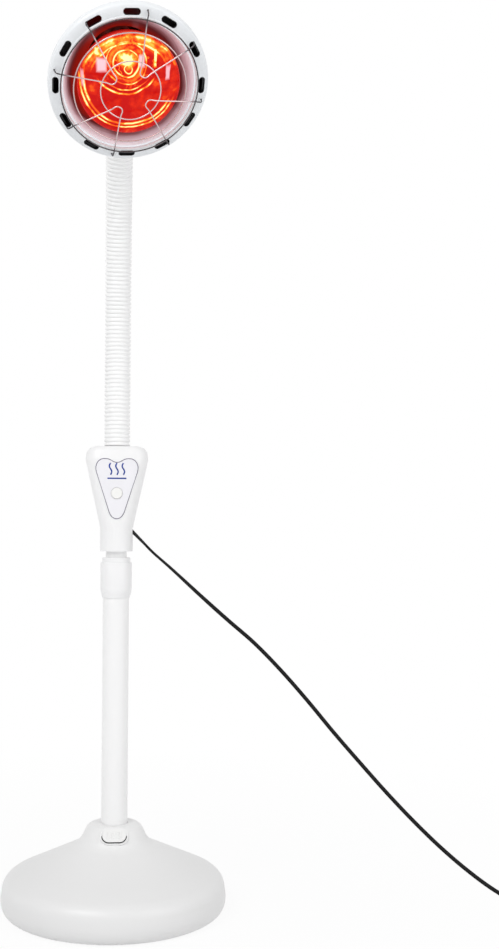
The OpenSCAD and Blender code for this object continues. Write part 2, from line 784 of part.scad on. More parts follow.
// Closes the housing's back and carries the lampholder's bracket
module rear_cap() {
  color("white") on_lamp() difference() {
    rotate_extrude() polygon(concat(
      [[0, housing_back + 5], [housing_back_r - head_wall - gap, housing_back + 5],
       [housing_back_r - head_wall - gap, housing_back - seat_gap],
       [housing_back_r - 0.4, housing_back - seat_gap]],
      bend([housing_back_r - 1, housing_back - 6], [housing_back_r - 2.5, -head_depth],
           [housing_back_r - 14, -head_depth], 8),
      [[0, -head_depth]]));
    translate([0, 0, -head_depth + head_wall]) cylinder(r = housing_back_r - 7, h = head_depth);
    around(3) translate([housing_back_r - 11, 0, -head_depth - 1]) cylinder(r = 1.8, h = 5);
  }
}

// Flange round the mouth, with a ring of air slots
module front_ring() {
  outer = concat(
    [[head_r, skirt_s]], bend([head_r, -1.5], [head_r - 0.1, 0.6], [head_r - 2.4, 2.2], 5),
    bend([mouth_r + 2.6, lip_s - 1.3], [mouth_r + 1.2, lip_s + 0.9], [mouth_r, lip_s - 0.8], 6),
    [[mouth_r - 0.6, lip_s - 2], [mouth_r - 0.6, lip_s - lip_back]]);
  inner = [[mouth_r + 1.6, lip_s - lip_back], [mouth_r + 1.8, lip_s - 3.4],
           [head_r - 3.8, -0.2], [head_r - 2.4, -2], [head_r - 2.4, skirt_s]];
  color("gainsboro") on_lamp() difference() {
    rotate_extrude() polygon(concat(outer, inner));
    around(slot_count, 90 - slot_turn) translate([slot_r, 0, skirt_s]) rotate([0, 0, 90])
      linear_extrude(30) stadium(slot_l, slot_w);
    around(petal_count, petal_turn) for (side = [-1, 1])
      translate([petal_foot[0], side * petal_foot[1], skirt_s]) cylinder(r = guard_wire_d / 2 + gap, h = 30);
  }
}

reflector_steps = [
  [mouth_r - 2.6, 0], [mouth_r - 3.6, -3.5], [mouth_r - 6.5, -14], [mouth_r - 12, -28],
  [mouth_r - 20, -43], [bulb_r * 0.82, -55], [bulb_r * 0.73, -61]
];

// Bright bowl round the bulb; its flange sits behind the ring's inner lip
module reflector() {
  bowl = smooth(reflector_steps, 3);
  n = len(bowl);
  color("mistyrose") on_lamp() rotate_extrude() polygon(concat(
    [[mouth_r + 1.5, lip_s - lip_back - seat_gap], [mouth_r - 2.4, lip_s - lip_back - seat_gap]], bowl,
    [for (i = [n-1:-1:0]) [bowl[i][0] + 1, bowl[i][1] - 1.2]], [[mouth_r + 1.5, lip_s - lip_back - 1.2]]));
}

// Height of a petal's wire over the flange at radius r: it rises evenly to the guard's middle
function petal_s(r) =
  guard_rim_s + (guard_s - guard_rim_s) * (guard_ring_r - max(r, guard_tip_r)) / (guard_ring_r - guard_tip_r);

// One petal: in from the flange, round the tip and back out, in one bent wire
module petal() {
  leg = guard_ring_r * [cos(petal_half), sin(petal_half)];
  shoulder_xy = [guard_tip_r + 8, 6.5];
  half = concat(
    [[petal_foot[0], petal_foot[1], -1]],
    bend([petal_foot[0], petal_foot[1], 3], [petal_foot[0], petal_foot[1], guard_rim_s - 0.9],
         [petal_foot[0] - 3, petal_foot[1] - 1.2, guard_rim_s - 0.5], 3),
    [[leg[0] + 1, leg[1] + 0.4, guard_rim_s], [leg[0], leg[1], guard_rim_s]],
    bend([shoulder_xy[0], shoulder_xy[1], petal_s(norm(shoulder_xy))],
         [guard_tip_r - 0.5, 5.5, guard_s], [guard_tip_r, 0, guard_s], 4));
  n = len(half);
  sweep(concat(half, [for (i = [n-2:-1:0]) [half[i][0], -half[i][1], half[i][2]]]), guard_wire_d / 2, 8);
}

module wire_ring(r, s) {
  translate([0, 0, s]) rotate_extrude() translate([r, 0]) circle(d = guard_wire_d, $fn = 16);
}

module wire_guard() {
  under = guard_wire_d + fit;
  color("silver") on_lamp() {
    wire_ring(guard_ring_r, guard_rim_s - under);
    wire_ring(guard_mid_r, petal_s(guard_mid_r) - under);
    wire_ring(guard_inner_r, petal_s(guard_inner_r) - under);
    around(petal_count, petal_turn) petal();
  }
}

module lampholder() {
  color("ivory") on_lamp() difference() {
    translate([0, 0, holder_s[0]]) cylinder(r = holder_r, h = holder_s[1] - holder_s[0]);
    translate([0, 0, cap_s - gap]) cylinder(r = cap_r + gap, h = bulb_l);
    translate([0, 0, holder_s[1] - 8]) cylinder(r1 = cap_r + gap, r2 = neck_glass_r, h = 9);
    for (x = [-8, 8]) translate([x, 0, holder_s[0] - 1]) cylinder(r = 1.6, h = 8);
  }
}

// Steel cup that ties the lampholder to the rear cap
module holder_bracket() {
  base_s = -head_depth + head_wall + seat_gap;
  color("silver") on_lamp() difference() {
    union() {
      translate([0, 0, base_s]) cylinder(r = housing_back_r - 7.5, h = 1.5);
      translate([0, 0, base_s]) cylinder(r = holder_r + 1.5, h = holder_s[0] - base_s + 12);
    }
    translate([0, 0, holder_s[0]]) cylinder(r = holder_r + seat_gap, h = 30);
    translate([0, 0, base_s + 1.5]) cylinder(r = holder_r - 5, h = 30);
    around(3) translate([housing_back_r - 11, 0, base_s - 1]) cylinder(r = 1.5, h = 5);
  }
}

module housing_screws() {
  color("silver") on_lamp() around(3) translate([housing_back_r - 11, 0, -head_depth]) {
    cylinder(r = 1.5, h = head_wall + 1.5);
    translate([0, 0, -1.5]) cylinder(r = 3.2, h = 1.5 + eps);
  }
}

// ---------- bulb ----------

function bulb_outline(t) = concat(
  bend([0.01, bulb_lens - t], [bulb_r * 0.6, bulb_lens - t], [bulb_r - 5 - t, 4.5 - t/2], 10),
  bend([bulb_r - 1.5 - t, 3 - t/2], [bulb_r - t, 1.5], [bulb_r - t, -3], 4),
  bend([bulb_r - 2 - t, -12], [bulb_r * 0.72 - t, -60], [neck_glass_r - 1 - t, -bulb_l + cap_l + 8], 12),
  [[neck_glass_r - 2 - t, -bulb_l + cap_l]]);

module bulb_glass() {
  color("red") on_lamp() rotate_extrude() difference() {
    polygon(concat(bulb_outline(0), [[0, -bulb_l + cap_l]]));
    polygon(concat(bulb_outline(glass_t), [[0, -bulb_l + cap_l - 1]]));
  }
}

module bulb_cap() {
  color("gold") on_lamp() {
    rotate_extrude() difference() {
      polygon([[0, cap_s], [5, cap_s], [6.5, cap_s + 3], [cap_r, cap_s + 5], [cap_r, cap_s + cap_l - 6],
               [neck_glass_r - 2, cap_s + cap_l], [0, cap_s + cap_l]]);
      polygon([[0, cap_s + 7], [cap_r - 1.2, cap_s + 7], [cap_r - 1.2, cap_s + cap_l - 5],
               [neck_glass_r - 4, cap_s + cap_l + 1], [0, cap_s + cap_l + 1]]);
    }
  }
}

// Glass stem, two lead wires and the glowing coil between them
module bulb_filament() {
  color("orange") on_lamp() {
    translate([0, 0, cap_s + 7]) cylinder(r1 = 9, r2 = 4, h = filament_s - cap_s - 24);
    for (x = [-1, 1]) lead_wire([x * 3, 0, filament_s - 18], [x * 16, 0, filament_s]);
    translate([0, 0, filament_s]) rotate_extrude(angle = 180) translate([16, 0]) circle(r = 1.2, $fn = 16);
  }
}

module lead_wire(a, b) {
  d = b - a;
  translate(a) rotate([0, acos(d[2] / norm(d)), atan2(d[1], d[0])]) cylinder(r = 0.6, h = norm(d), $fn = 16);
}

// ---------- cord ----------

module cord_run() {
  color("black") sweep(smooth(cord_route, 2), cord_r, 8);
}

module cord_tail() {
  color("black") sweep(smooth(tail_route, 1), cord_r, 8);
}

// The coil's outer form, grown by g
module coil_form(g) {
  half = 1.5 * coil_pitch + g;
  h = cord_d * coil_layers + g;
  translate([coil_at[0], coil_at[1], 0]) rotate_extrude() polygon([
    [coil_turn_r - half + 1.5, 0], [coil_turn_r + half - 1.5, 0], [coil_turn_r + half, 1.5],
    [coil_turn_r + half, h - 1.5], [coil_turn_r + half - 1.5, h], [coil_turn_r - half + 1.5, h],
    [coil_turn_r - half, h - 1.5], [coil_turn_r - half, 1.5]]);
}

module cord_coil() {
  color("black") coil_form(0);
}

// Band over the coil's turns
module cord_tie() {
  half = 1.5 * coil_pitch + 1.4;
  color("dimgray") difference() {
    translate([coil_at[0] - coil_turn_r - half, coil_at[1] - 4, 0])
      cube([2*half, 8, cord_d * coil_layers + 1.2]);
    coil_form(0.15);
    translate([coil_at[0] - coil_turn_r - half - 1, coil_at[1] - 5, -1]) cube([2*half + 2, 10, 2]);
  }
}

module at_plug() {
  translate(plug_at) children();
}

// Flat two-pin plug: the cord enters at y = 0, the face is at y = plug_l
module plug_body() {
  flare = plug_w / 2;
  waist = 6.5;
  side = concat([[waist, 0]], bend([waist, 2], [flare - 1.6, 6], [flare - 1.6, plug_l - 12], 8),
                [[flare - 1.6, plug_l - 6], [flare, plug_l - 5.4], [flare, plug_l - 1.5],
                 [flare - 1.5, plug_l]]);
  color("black") at_plug() intersection() {
    translate([0, 0, -plug_t / 2]) linear_extrude(plug_t)
      polygon(concat(side, [for (i = [len(side)-1:-1:0]) [-side[i][0], side[i][1]]]));
    translate([-flare - 1, 0, 0]) rotate([90, 0, 90]) linear_extrude(plug_w + 2) polygon([
      [0, -4.2], [8, -plug_t/2 + 0.6], [14, -plug_t/2], [plug_l, -plug_t/2],
      [plug_l, plug_t/2], [14, plug_t/2], [8, plug_t/2 - 0.6], [0, 4.2]]);
  }
}

module plug_sleeves() {
  color("black") at_plug() for (x = [-1, 1]) translate([x * pin_gap / 2, plug_l, 0]) rotate([-90, 0, 0])
    difference() {
      union() {
        cylinder(r1 = pin_r + 1.2, r2 = pin_sleeve_r, h = 2);
        cylinder(r = pin_sleeve_r, h = 10);
      }
      translate([0, 0, -1]) cylinder(r = pin_core_r, h = 12);
    }
}

module plug_pins() {
  color("silver") at_plug() for (x = [-1, 1]) translate([x * pin_gap / 2, plug_l, 0]) rotate([-90, 0, 0]) {
    cylinder(r = pin_core_r, h = 10);
    translate([0, 0, 10]) cylinder(r = pin_r, h = pin_l - 11);
    translate([0, 0, pin_l - 1]) cylinder(r1 = pin_r, r2 = pin_r - 0.8, h = 1);
  }
}

base_pad();
base_plate();
base_weight();
base_cover();
base_screws();
post_socket();
lower_post();
post_ferrule();
release_button();
release_spring();
lock_collar();
upper_post();
guide_bush();
box_front_shell();
box_rear_shell();
panel_overlay();
power_button();
switch_body();
circuit_board();
box_frame();
post_clamp();
neck_anchor();
box_screws();
strain_relief();
neck_hose(1);  // neck_hose_1
neck_hose(2);  // neck_hose_2
neck_hose(3);  // neck_hose_3
neck_hose(4);  // neck_hose_4
neck_hose(5);  // neck_hose_5
neck_hose(6);  // neck_hose_6
neck_hose(7);  // neck_hose_7
neck_hose(8);  // neck_hose_8
neck_core(1);  // neck_core_1
neck_core(2);  // neck_core_2
neck_core(3);  // neck_core_3
neck_core(4);  // neck_core_4
neck_core(5);  // neck_core_5
neck_core(6);  // neck_core_6
neck_core(7);  // neck_core_7
neck_core(8);  // neck_core_8
neck_top_ferrule();
swivel_nut();
lamp_housing();
rear_cap();
front_ring();
reflector();
wire_guard();
lampholder();
holder_bracket();
housing_screws();
bulb_glass();
bulb_cap();
bulb_filament();
cord_run();
cord_coil();
cord_tail();
cord_tie();
plug_body();
plug_sleeves();
plug_pins();
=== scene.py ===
"""Makes an infrared heat lamp on a telescopic floor stand."""

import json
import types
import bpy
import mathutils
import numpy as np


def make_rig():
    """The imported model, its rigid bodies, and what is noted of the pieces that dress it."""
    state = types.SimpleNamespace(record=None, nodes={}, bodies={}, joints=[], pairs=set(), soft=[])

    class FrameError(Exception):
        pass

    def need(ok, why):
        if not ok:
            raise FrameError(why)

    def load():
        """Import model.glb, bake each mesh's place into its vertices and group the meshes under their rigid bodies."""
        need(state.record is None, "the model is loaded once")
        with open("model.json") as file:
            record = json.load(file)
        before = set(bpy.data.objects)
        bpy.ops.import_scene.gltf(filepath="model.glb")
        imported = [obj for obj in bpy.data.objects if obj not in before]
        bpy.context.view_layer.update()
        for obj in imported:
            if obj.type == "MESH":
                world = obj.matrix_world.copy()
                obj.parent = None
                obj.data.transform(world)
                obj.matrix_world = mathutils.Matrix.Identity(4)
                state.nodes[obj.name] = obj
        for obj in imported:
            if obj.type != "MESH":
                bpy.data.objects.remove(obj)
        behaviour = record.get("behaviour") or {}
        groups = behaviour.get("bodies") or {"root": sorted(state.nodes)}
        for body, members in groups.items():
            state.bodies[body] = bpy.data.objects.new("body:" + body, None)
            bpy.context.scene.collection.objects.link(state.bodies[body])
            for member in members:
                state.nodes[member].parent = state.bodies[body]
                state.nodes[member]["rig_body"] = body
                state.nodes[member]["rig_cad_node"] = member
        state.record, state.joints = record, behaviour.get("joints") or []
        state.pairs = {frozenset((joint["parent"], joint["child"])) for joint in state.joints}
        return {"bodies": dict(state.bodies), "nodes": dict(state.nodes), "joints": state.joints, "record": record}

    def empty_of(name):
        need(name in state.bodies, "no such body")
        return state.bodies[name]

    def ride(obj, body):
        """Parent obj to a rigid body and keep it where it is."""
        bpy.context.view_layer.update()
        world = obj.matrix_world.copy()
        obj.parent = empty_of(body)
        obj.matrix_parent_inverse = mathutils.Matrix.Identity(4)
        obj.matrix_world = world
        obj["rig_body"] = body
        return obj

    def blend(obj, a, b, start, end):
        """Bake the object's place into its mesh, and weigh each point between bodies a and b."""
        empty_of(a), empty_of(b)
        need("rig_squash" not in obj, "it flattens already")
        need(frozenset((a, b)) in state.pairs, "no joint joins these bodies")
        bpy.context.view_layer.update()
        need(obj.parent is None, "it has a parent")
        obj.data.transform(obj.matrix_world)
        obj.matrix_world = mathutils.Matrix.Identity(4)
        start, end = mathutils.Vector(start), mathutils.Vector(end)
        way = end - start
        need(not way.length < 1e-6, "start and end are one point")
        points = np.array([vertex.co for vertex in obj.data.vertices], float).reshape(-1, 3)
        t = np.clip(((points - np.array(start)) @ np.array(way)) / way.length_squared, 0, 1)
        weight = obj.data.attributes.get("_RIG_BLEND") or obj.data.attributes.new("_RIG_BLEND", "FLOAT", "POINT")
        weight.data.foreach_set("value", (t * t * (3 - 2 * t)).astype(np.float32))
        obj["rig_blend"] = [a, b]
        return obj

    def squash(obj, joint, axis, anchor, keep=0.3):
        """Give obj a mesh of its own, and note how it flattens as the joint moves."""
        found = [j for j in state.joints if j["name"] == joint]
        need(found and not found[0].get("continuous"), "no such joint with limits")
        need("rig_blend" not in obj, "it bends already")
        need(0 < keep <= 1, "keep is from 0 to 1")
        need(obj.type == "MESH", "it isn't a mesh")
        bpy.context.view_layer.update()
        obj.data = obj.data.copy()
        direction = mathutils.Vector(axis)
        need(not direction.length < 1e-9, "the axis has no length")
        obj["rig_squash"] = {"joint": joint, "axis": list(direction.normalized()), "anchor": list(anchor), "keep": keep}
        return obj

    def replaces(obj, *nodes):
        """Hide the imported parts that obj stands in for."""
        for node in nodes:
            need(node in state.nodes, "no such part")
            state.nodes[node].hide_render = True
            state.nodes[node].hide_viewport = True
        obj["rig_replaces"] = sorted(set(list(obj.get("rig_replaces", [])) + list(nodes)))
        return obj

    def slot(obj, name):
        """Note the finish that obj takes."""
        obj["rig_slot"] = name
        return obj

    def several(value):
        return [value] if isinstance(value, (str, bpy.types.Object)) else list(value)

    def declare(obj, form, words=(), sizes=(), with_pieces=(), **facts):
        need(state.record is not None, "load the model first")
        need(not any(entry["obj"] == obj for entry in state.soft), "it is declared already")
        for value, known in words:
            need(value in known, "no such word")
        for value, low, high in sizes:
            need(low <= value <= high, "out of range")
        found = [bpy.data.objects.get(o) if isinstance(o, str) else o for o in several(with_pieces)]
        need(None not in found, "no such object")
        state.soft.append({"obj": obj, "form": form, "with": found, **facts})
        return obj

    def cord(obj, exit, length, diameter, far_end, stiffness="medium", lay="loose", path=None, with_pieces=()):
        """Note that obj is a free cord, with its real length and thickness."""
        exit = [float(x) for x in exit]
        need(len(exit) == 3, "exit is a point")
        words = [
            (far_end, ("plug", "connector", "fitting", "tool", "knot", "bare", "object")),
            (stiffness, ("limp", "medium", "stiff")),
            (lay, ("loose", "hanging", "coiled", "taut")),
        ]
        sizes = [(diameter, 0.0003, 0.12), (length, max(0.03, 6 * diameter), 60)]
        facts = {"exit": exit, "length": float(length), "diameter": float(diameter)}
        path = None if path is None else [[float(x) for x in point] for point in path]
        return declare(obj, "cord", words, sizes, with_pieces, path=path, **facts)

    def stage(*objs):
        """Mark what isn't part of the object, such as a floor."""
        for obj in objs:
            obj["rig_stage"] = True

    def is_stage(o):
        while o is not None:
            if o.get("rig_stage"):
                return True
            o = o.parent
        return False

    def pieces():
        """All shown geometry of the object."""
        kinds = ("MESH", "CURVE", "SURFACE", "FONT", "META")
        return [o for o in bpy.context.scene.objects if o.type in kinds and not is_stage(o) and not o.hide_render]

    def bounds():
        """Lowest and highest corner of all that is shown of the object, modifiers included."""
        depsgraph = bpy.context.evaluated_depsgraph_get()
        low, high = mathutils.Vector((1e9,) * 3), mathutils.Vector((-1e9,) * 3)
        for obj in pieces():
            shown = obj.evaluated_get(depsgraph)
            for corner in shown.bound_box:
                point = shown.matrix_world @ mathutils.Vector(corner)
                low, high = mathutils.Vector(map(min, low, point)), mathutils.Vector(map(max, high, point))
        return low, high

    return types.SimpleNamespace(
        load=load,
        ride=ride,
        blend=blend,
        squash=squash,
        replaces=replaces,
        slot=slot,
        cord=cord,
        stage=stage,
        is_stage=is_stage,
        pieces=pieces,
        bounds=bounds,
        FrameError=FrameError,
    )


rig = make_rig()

bl_info = {
    "name": "Heat Lamp Maker",
    "version": (1, 0, 0),
    "blender": (4, 5, 0),
    "location": "View3D > Sidebar > Heat Lamp",
    "description": "Dresses the frame of a floor-standing heat lamp: foot, post, box, neck, head and lead",
    "category": "Add Mesh",
}

import json
import math

import bpy
import bmesh
from bpy.props import FloatProperty, FloatVectorProperty, IntProperty, PointerProperty
from mathutils import Euler, Matrix, Vector

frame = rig.load()
CAD_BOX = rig.bounds()
NODES = frame["nodes"]
JOINTS = {joint["name"]: joint for joint in frame["joints"]}

# ---------------------------------------------------------------- places in the frame

BOX_TOP = 0.616
NECK_STRAIGHT = 0.1045
NECK_BEND = 0.446
NECK_LINKS = 8
NECK_TOP = Vector(JOINTS["head_swivel"]["pos_m"])
NECK_AXIS = Vector(JOINTS["head_swivel"]["axis"])
NECK_LEAN = math.atan2(-NECK_AXIS.y, NECK_AXIS.z)
NECK_LENGTH = NECK_STRAIGHT + NECK_BEND * NECK_LEAN
HEAD_TURN = math.radians(7)
MOUTH_FROM_NECK = (0, -0.085, 0.072)
# The lamp's own frame: Z forward along its axis, Y up, origin at the ring's widest circle
HEAD = (
    Matrix.Translation(NECK_TOP)
    @ Matrix.Rotation(NECK_LEAN, 4, "X")
    @ Matrix.Rotation(HEAD_TURN, 4, "Z")
    @ Matrix.Translation(MOUTH_FROM_NECK)
    @ Matrix.Rotation(math.radians(90), 4, "X")
)
SLEEVE_ROOT = (0.0215, 0, 0.502)
SLEEVE_HEADING = math.radians(-6)
SLEEVE_TILT = math.radians(135)
# Where the lead leaves the box, with Z along it
SLEEVE = (
    Matrix.Translation(SLEEVE_ROOT)
    @ Matrix.Rotation(SLEEVE_HEADING, 4, "Z")
    @ Matrix.Rotation(SLEEVE_TILT, 4, "Y")
)
LINK_BODIES = ["carriage"] + [f"neck_{k}" for k in range(2, NECK_LINKS + 1)]


def neck_point(s):
    """Place on the neck's centreline at length s above the box."""
    if s <= NECK_STRAIGHT:
        return Vector((0, 0, BOX_TOP + s))
    lean = (s - NECK_STRAIGHT) / NECK_BEND
    height = BOX_TOP + NECK_STRAIGHT + NECK_BEND * math.sin(lean)
    return Vector((0, -NECK_BEND * (1 - math.cos(lean)), height))


def ease(t):
    """A smooth step from 0 to 1."""
    t = min(max(t, 0), 1)
    return t * t * (3 - 2 * t)


# ---------------------------------------------------------------- bench work

# Distances within which points are merged, in turned pieces and in copies of CAD nodes
SEAM, WELD = 2e-6, 1e-6


def clear_selection():
    if bpy.context.object and bpy.context.object.mode != "OBJECT":
        bpy.ops.object.mode_set(mode="OBJECT")
    bpy.ops.object.select_all(action="DESELECT")


def pick(piece):
    clear_selection()
    piece.select_set(True)
    bpy.context.view_layer.objects.active = piece


def name_piece(name):
    piece = bpy.context.object
    piece.name = name
    piece.data.name = name
    return piece


def turn_profile(name, profile, steps):
    """Draws a profile of (radius, height) points and spins it round Z."""
    clear_selection()
    bpy.ops.mesh.primitive_plane_add(size=0.001, location=(0, 0, 0))
    piece = name_piece(name)
    bpy.ops.object.mode_set(mode="EDIT")
    bpy.ops.mesh.select_all(action="SELECT")
    bpy.ops.mesh.merge(type="CENTER")
    here = Vector((profile[0][0], 0, profile[0][1]))
    bpy.ops.transform.translate(value=here)
    for radius, height in profile[1:]:
        step = Vector((radius, 0, height)) - here
        here += step
        bpy.ops.mesh.extrude_region_move(TRANSFORM_OT_translate={"value": step})
    bpy.ops.mesh.select_all(action="SELECT")
    bpy.ops.mesh.spin(steps=steps, angle=math.tau, center=(0, 0, 0), axis=(0, 0, 1))
    close_up()
    return piece


def close_up():
    """Merges doubles and turns faces outwards, in edit mode, then leaves it."""
    bpy.ops.mesh.select_all(action="SELECT")
    bpy.ops.mesh.remove_doubles(threshold=SEAM)
    bpy.ops.mesh.normals_make_consistent(inside=False)
    bpy.ops.object.mode_set(mode="OBJECT")


def curve_points(a, b, c, count):
    """Points of a bend from a to c that leans towards b."""
    return [
        tuple((1 - t) ** 2 * p + 2 * t * (1 - t) * q + t * t * r for p, q, r in zip(a, b, c))
        for t in (i / count for i in range(count + 1))
    ]


def smooth_path(path, count):
    """Points of a smooth curve through all points of a path."""
    path = [Vector(p) for p in path]
    last = len(path) - 1
    out = []
    for i in range(last):
        a, b, c, d = path[max(i - 1, 0)], path[i], path[i + 1], path[min(i + 2, last)]
        square, cube = 2 * a - 5 * b + 4 * c - d, 3 * b - a - 3 * c + d
        for t in (j / count for j in range(count)):
            out.append(0.5 * (2 * b + (c - a) * t + square * t**2 + cube * t**3))
    return out + [path[last]]


def add_modifier(piece, kind, **settings):
    """Adds one modifier and applies it."""
    pick(piece)
    modifier = piece.modifiers.new(kind.title(), kind)
    for key, value in settings.items():
        setattr(modifier, key, value)
    bpy.ops.object.modifier_apply(modifier=modifier.name)


def settle(piece, place=None, angle=40):
    """Moves a piece to its place, applies it and shades it."""
    pick(piece)
    if place is not None:
        piece.matrix_world = place @ piece.matrix_world
    bpy.ops.object.transform_apply(location=True, rotation=True, scale=True)
    bpy.ops.object.shade_smooth_by_angle(angle=math.radians(angle))
    return piece


def dress(piece, material):
    piece.data.materials.clear()
    piece.data.materials.append(material)


def dress_nodes(material, *names):
    for name in names:
        dress(NODES[name], material)


def fit(piece, body, material, node=None, slot=None):
    """Gives a finished piece its material and body, and lets it stand for its CAD node."""
    dress(piece, material)
    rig.ride(piece, body)
    if node:
        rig.replaces(piece, node)
    if slot:
        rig.slot(piece, slot)
    return piece


def copy_node(node, name):
    """A merged copy of a CAD node, ready to be finished."""
    piece = NODES[node].copy()
    piece.data = NODES[node].data.copy()
    piece.name = name
    piece.parent = None
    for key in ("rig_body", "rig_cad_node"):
        if key in piece:
            del piece[key]
    bpy.context.scene.collection.objects.link(piece)
    pick(piece)
    bpy.ops.object.mode_set(mode="EDIT")
    bpy.ops.mesh.select_all(action="SELECT")
    bpy.ops.mesh.remove_doubles(threshold=WELD)
    bpy.ops.mesh.customdata_custom_splitnormals_clear()
    bpy.ops.mesh.tris_convert_to_quads()
    bpy.ops.object.mode_set(mode="OBJECT")
    return piece


def finish_copy(node, name, body, material, slot, angle):
    """Finishes a copy of a CAD node, smooth up to an angle, that stands for the node."""
    return fit(settle(copy_node(node, name), angle=angle), body, material, node, slot)


def shaded(colour, share):
    return tuple(c * share for c in colour)


# ---------------------------------------------------------------- finishes


def add_node(tree, kind, inputs=None, **settings):
    """Adds a node; each input is a socket to link from or a value."""
    node = tree.nodes.new(kind)
    for key, value in settings.items():
        setattr(node, key, value)
    for key, value in (inputs or {}).items():
        if hasattr(value, "links"):
            tree.links.new(value, node.inputs[key])
        else:
            node.inputs[key].default_value = value
    return node


class Finish:
    """A material with short calls for its nodes."""

    def __init__(self, name, colour, roughness, metallic=0.0):
        self.material = bpy.data.materials.new(name)
        self.material.use_nodes = True
        self.tree = self.material.node_tree
        self.shader = self.tree.nodes["Principled BSDF"]
        self.set(Base_Color=(*colour, 1.0), Roughness=roughness, Metallic=metallic)
        self.coords = self.add("ShaderNodeTexCoord").outputs["Object"]

    def set(self, **values):
        for key, value in values.items():
            self.shader.inputs[key.replace("_", " ")].default_value = value
        return self

    def add(self, kind, inputs=None, **settings):
        return add_node(self.tree, kind, inputs, **settings)

    def feed(self, socket, output):
        self.tree.links.new(output, self.shader.inputs[socket])
        return self

    def noise(self, scale, detail=2.0, coords=None):
        inputs = {"Vector": coords or self.coords, "Scale": scale, "Detail": detail}
        return self.add("ShaderNodeTexNoise", inputs).outputs["Fac"]

    def ramp(self, factor, *stops):
        """A colour ramp; each stop is (place, colour)."""
        node = self.add("ShaderNodeValToRGB", {"Fac": factor})
        while len(node.color_ramp.elements) < len(stops):
            node.color_ramp.elements.new(0.5)
        for element, (place, colour) in zip(node.color_ramp.elements, stops):
            element.position = place
            element.color = (*colour, 1.0)
        return node.outputs["Color"]

    def maths(self, operation, a, b=0.0, c=0.0):
        return self.add("ShaderNodeMath", {0: a, 1: b, 2: c}, operation=operation).outputs[0]

    def times(self, a, b):
        return self.maths("MULTIPLY", a, b)

    def vector(self, operation, a, b=(0, 0, 0)):
        """A vector sum, which is a number for a length, a distance or a dot product."""
        node = self.add("ShaderNodeVectorMath", {0: a, 1: b}, operation=operation)
        return node.outputs["Value" if operation in ("LENGTH", "DISTANCE", "DOT_PRODUCT") else "Vector"]

    def part(self, vector, axis):
        return self.add("ShaderNodeSeparateXYZ", {"Vector": vector}).outputs[axis]

    def grade(self, factor, low, high, start=0.0, end=1.0):
        """Maps a value from start..end to low..high."""
        return self.add(
            "ShaderNodeMapRange",
            {"Value": factor, "From Min": start, "From Max": end, "To Min": low, "To Max": high},
        ).outputs["Result"]

    def blend(self, factor, a, b):
        """Mixes two colours, each a socket or three numbers."""
        a, b = (colour if hasattr(colour, "links") else (*colour, 1.0) for colour in (a, b))
        return self.add("ShaderNodeMix", {0: factor, 6: a, 7: b}, data_type="RGBA").outputs[2]

    def gloss(self, scale, low, high, detail=3.0):
        """Uneven gloss between two roughnesses."""
        return self.feed("Roughness", self.grade(self.noise(scale, detail), low, high, 0.3, 0.7))

    def mottle(self, scale, detail, *stops):
        """Base colour that drifts between stops, each (place, colour)."""
        return self.feed("Base Color", self.ramp(self.noise(scale, detail), *stops))

    def orange_peel(self):
        """The soft relief of moulded plastic."""
        return self.bump(self.noise(260.0), 0.15, 0.00002)

    def lamp_coords(self):
        """Object coordinates turned into the lamp's own frame."""
        place, turn, _ = HEAD.decompose()
        inputs = {"Vector": self.coords, "Location": place, "Rotation": turn.to_euler()}
        return self.add("ShaderNodeMapping", inputs, vector_type="TEXTURE").outputs["Vector"]

    def lamp_normal(self):
        """The surface's direction in the lamp's own frame."""
        normal = self.add("ShaderNodeTexCoord").outputs["Normal"]
        inputs = {"Vector": normal, "Rotation": HEAD.to_euler()}
        return self.add("ShaderNodeMapping", inputs, vector_type="TEXTURE").outputs["Vector"]

    def ahead(self):
        """1 where a surface of the head faces along the lamp's axis, -1 where it faces back."""
        return self.part(self.lamp_normal(), "Z")

    def facing_out(self, face):
        """1 where a surface of the head faces away from the lamp's axis, 0 where it faces the axis."""
        slant = self.vector("DOT_PRODUCT", self.lamp_normal(), self.vector("MULTIPLY", face, (1, 1, 0)))
        return self.grade(slant, 0.0, 1.0, -0.012, -0.004)

    def off_axis(self, coords):
        """Distance from the lamp's axis."""
        return self.vector("LENGTH", self.vector("MULTIPLY", coords, (1, 1, 0)))

    def ring(self, coords, centre, radius, width):
        """1 on a ring round a point of the lamp's face, falling to 0 at its width."""
        off = self.maths("SUBTRACT", self.vector("DISTANCE", coords, (*centre, 0)), radius)
        return self.grade(self.maths("ABSOLUTE", off), 1.0, 0.0, 0.0, width)

    def patch(self, coords, centre, half):
        """1 on a soft-edged rectangle of the lamp's face, 0 outside it."""
        off = self.vector("DIVIDE", self.vector("SUBTRACT", coords, (*centre, 0)), (*half, 1))
        off = self.vector("ABSOLUTE", off)
        return self.grade(self.maths("MAXIMUM", self.part(off, "X"), self.part(off, "Y")), 1.0, 0.0, 0.6, 1.0)

    def brightest(self, *marks):
        most = marks[0]
        for mark in marks[1:]:
            most = self.maths("MAXIMUM", most, mark)
        return most

    def bump(self, height, strength, distance):
        node = self.add("ShaderNodeBump", {"Height": height, "Strength": strength, "Distance": distance})
        return self.feed("Normal", node.outputs["Normal"])


def moulded_plastic(name, colour, roughness=0.34):
    """Injection-moulded plastic: a faint cloudiness, uneven gloss and a soft orange peel."""
    finish = Finish(name, colour, roughness)
    finish.mottle(14.0, 3.0, (0.35, shaded(colour, 0.993)), (0.62, colour))
    finish.gloss(180.0, roughness - 0.03, roughness + 0.05)
    finish.orange_peel()
    return finish.material


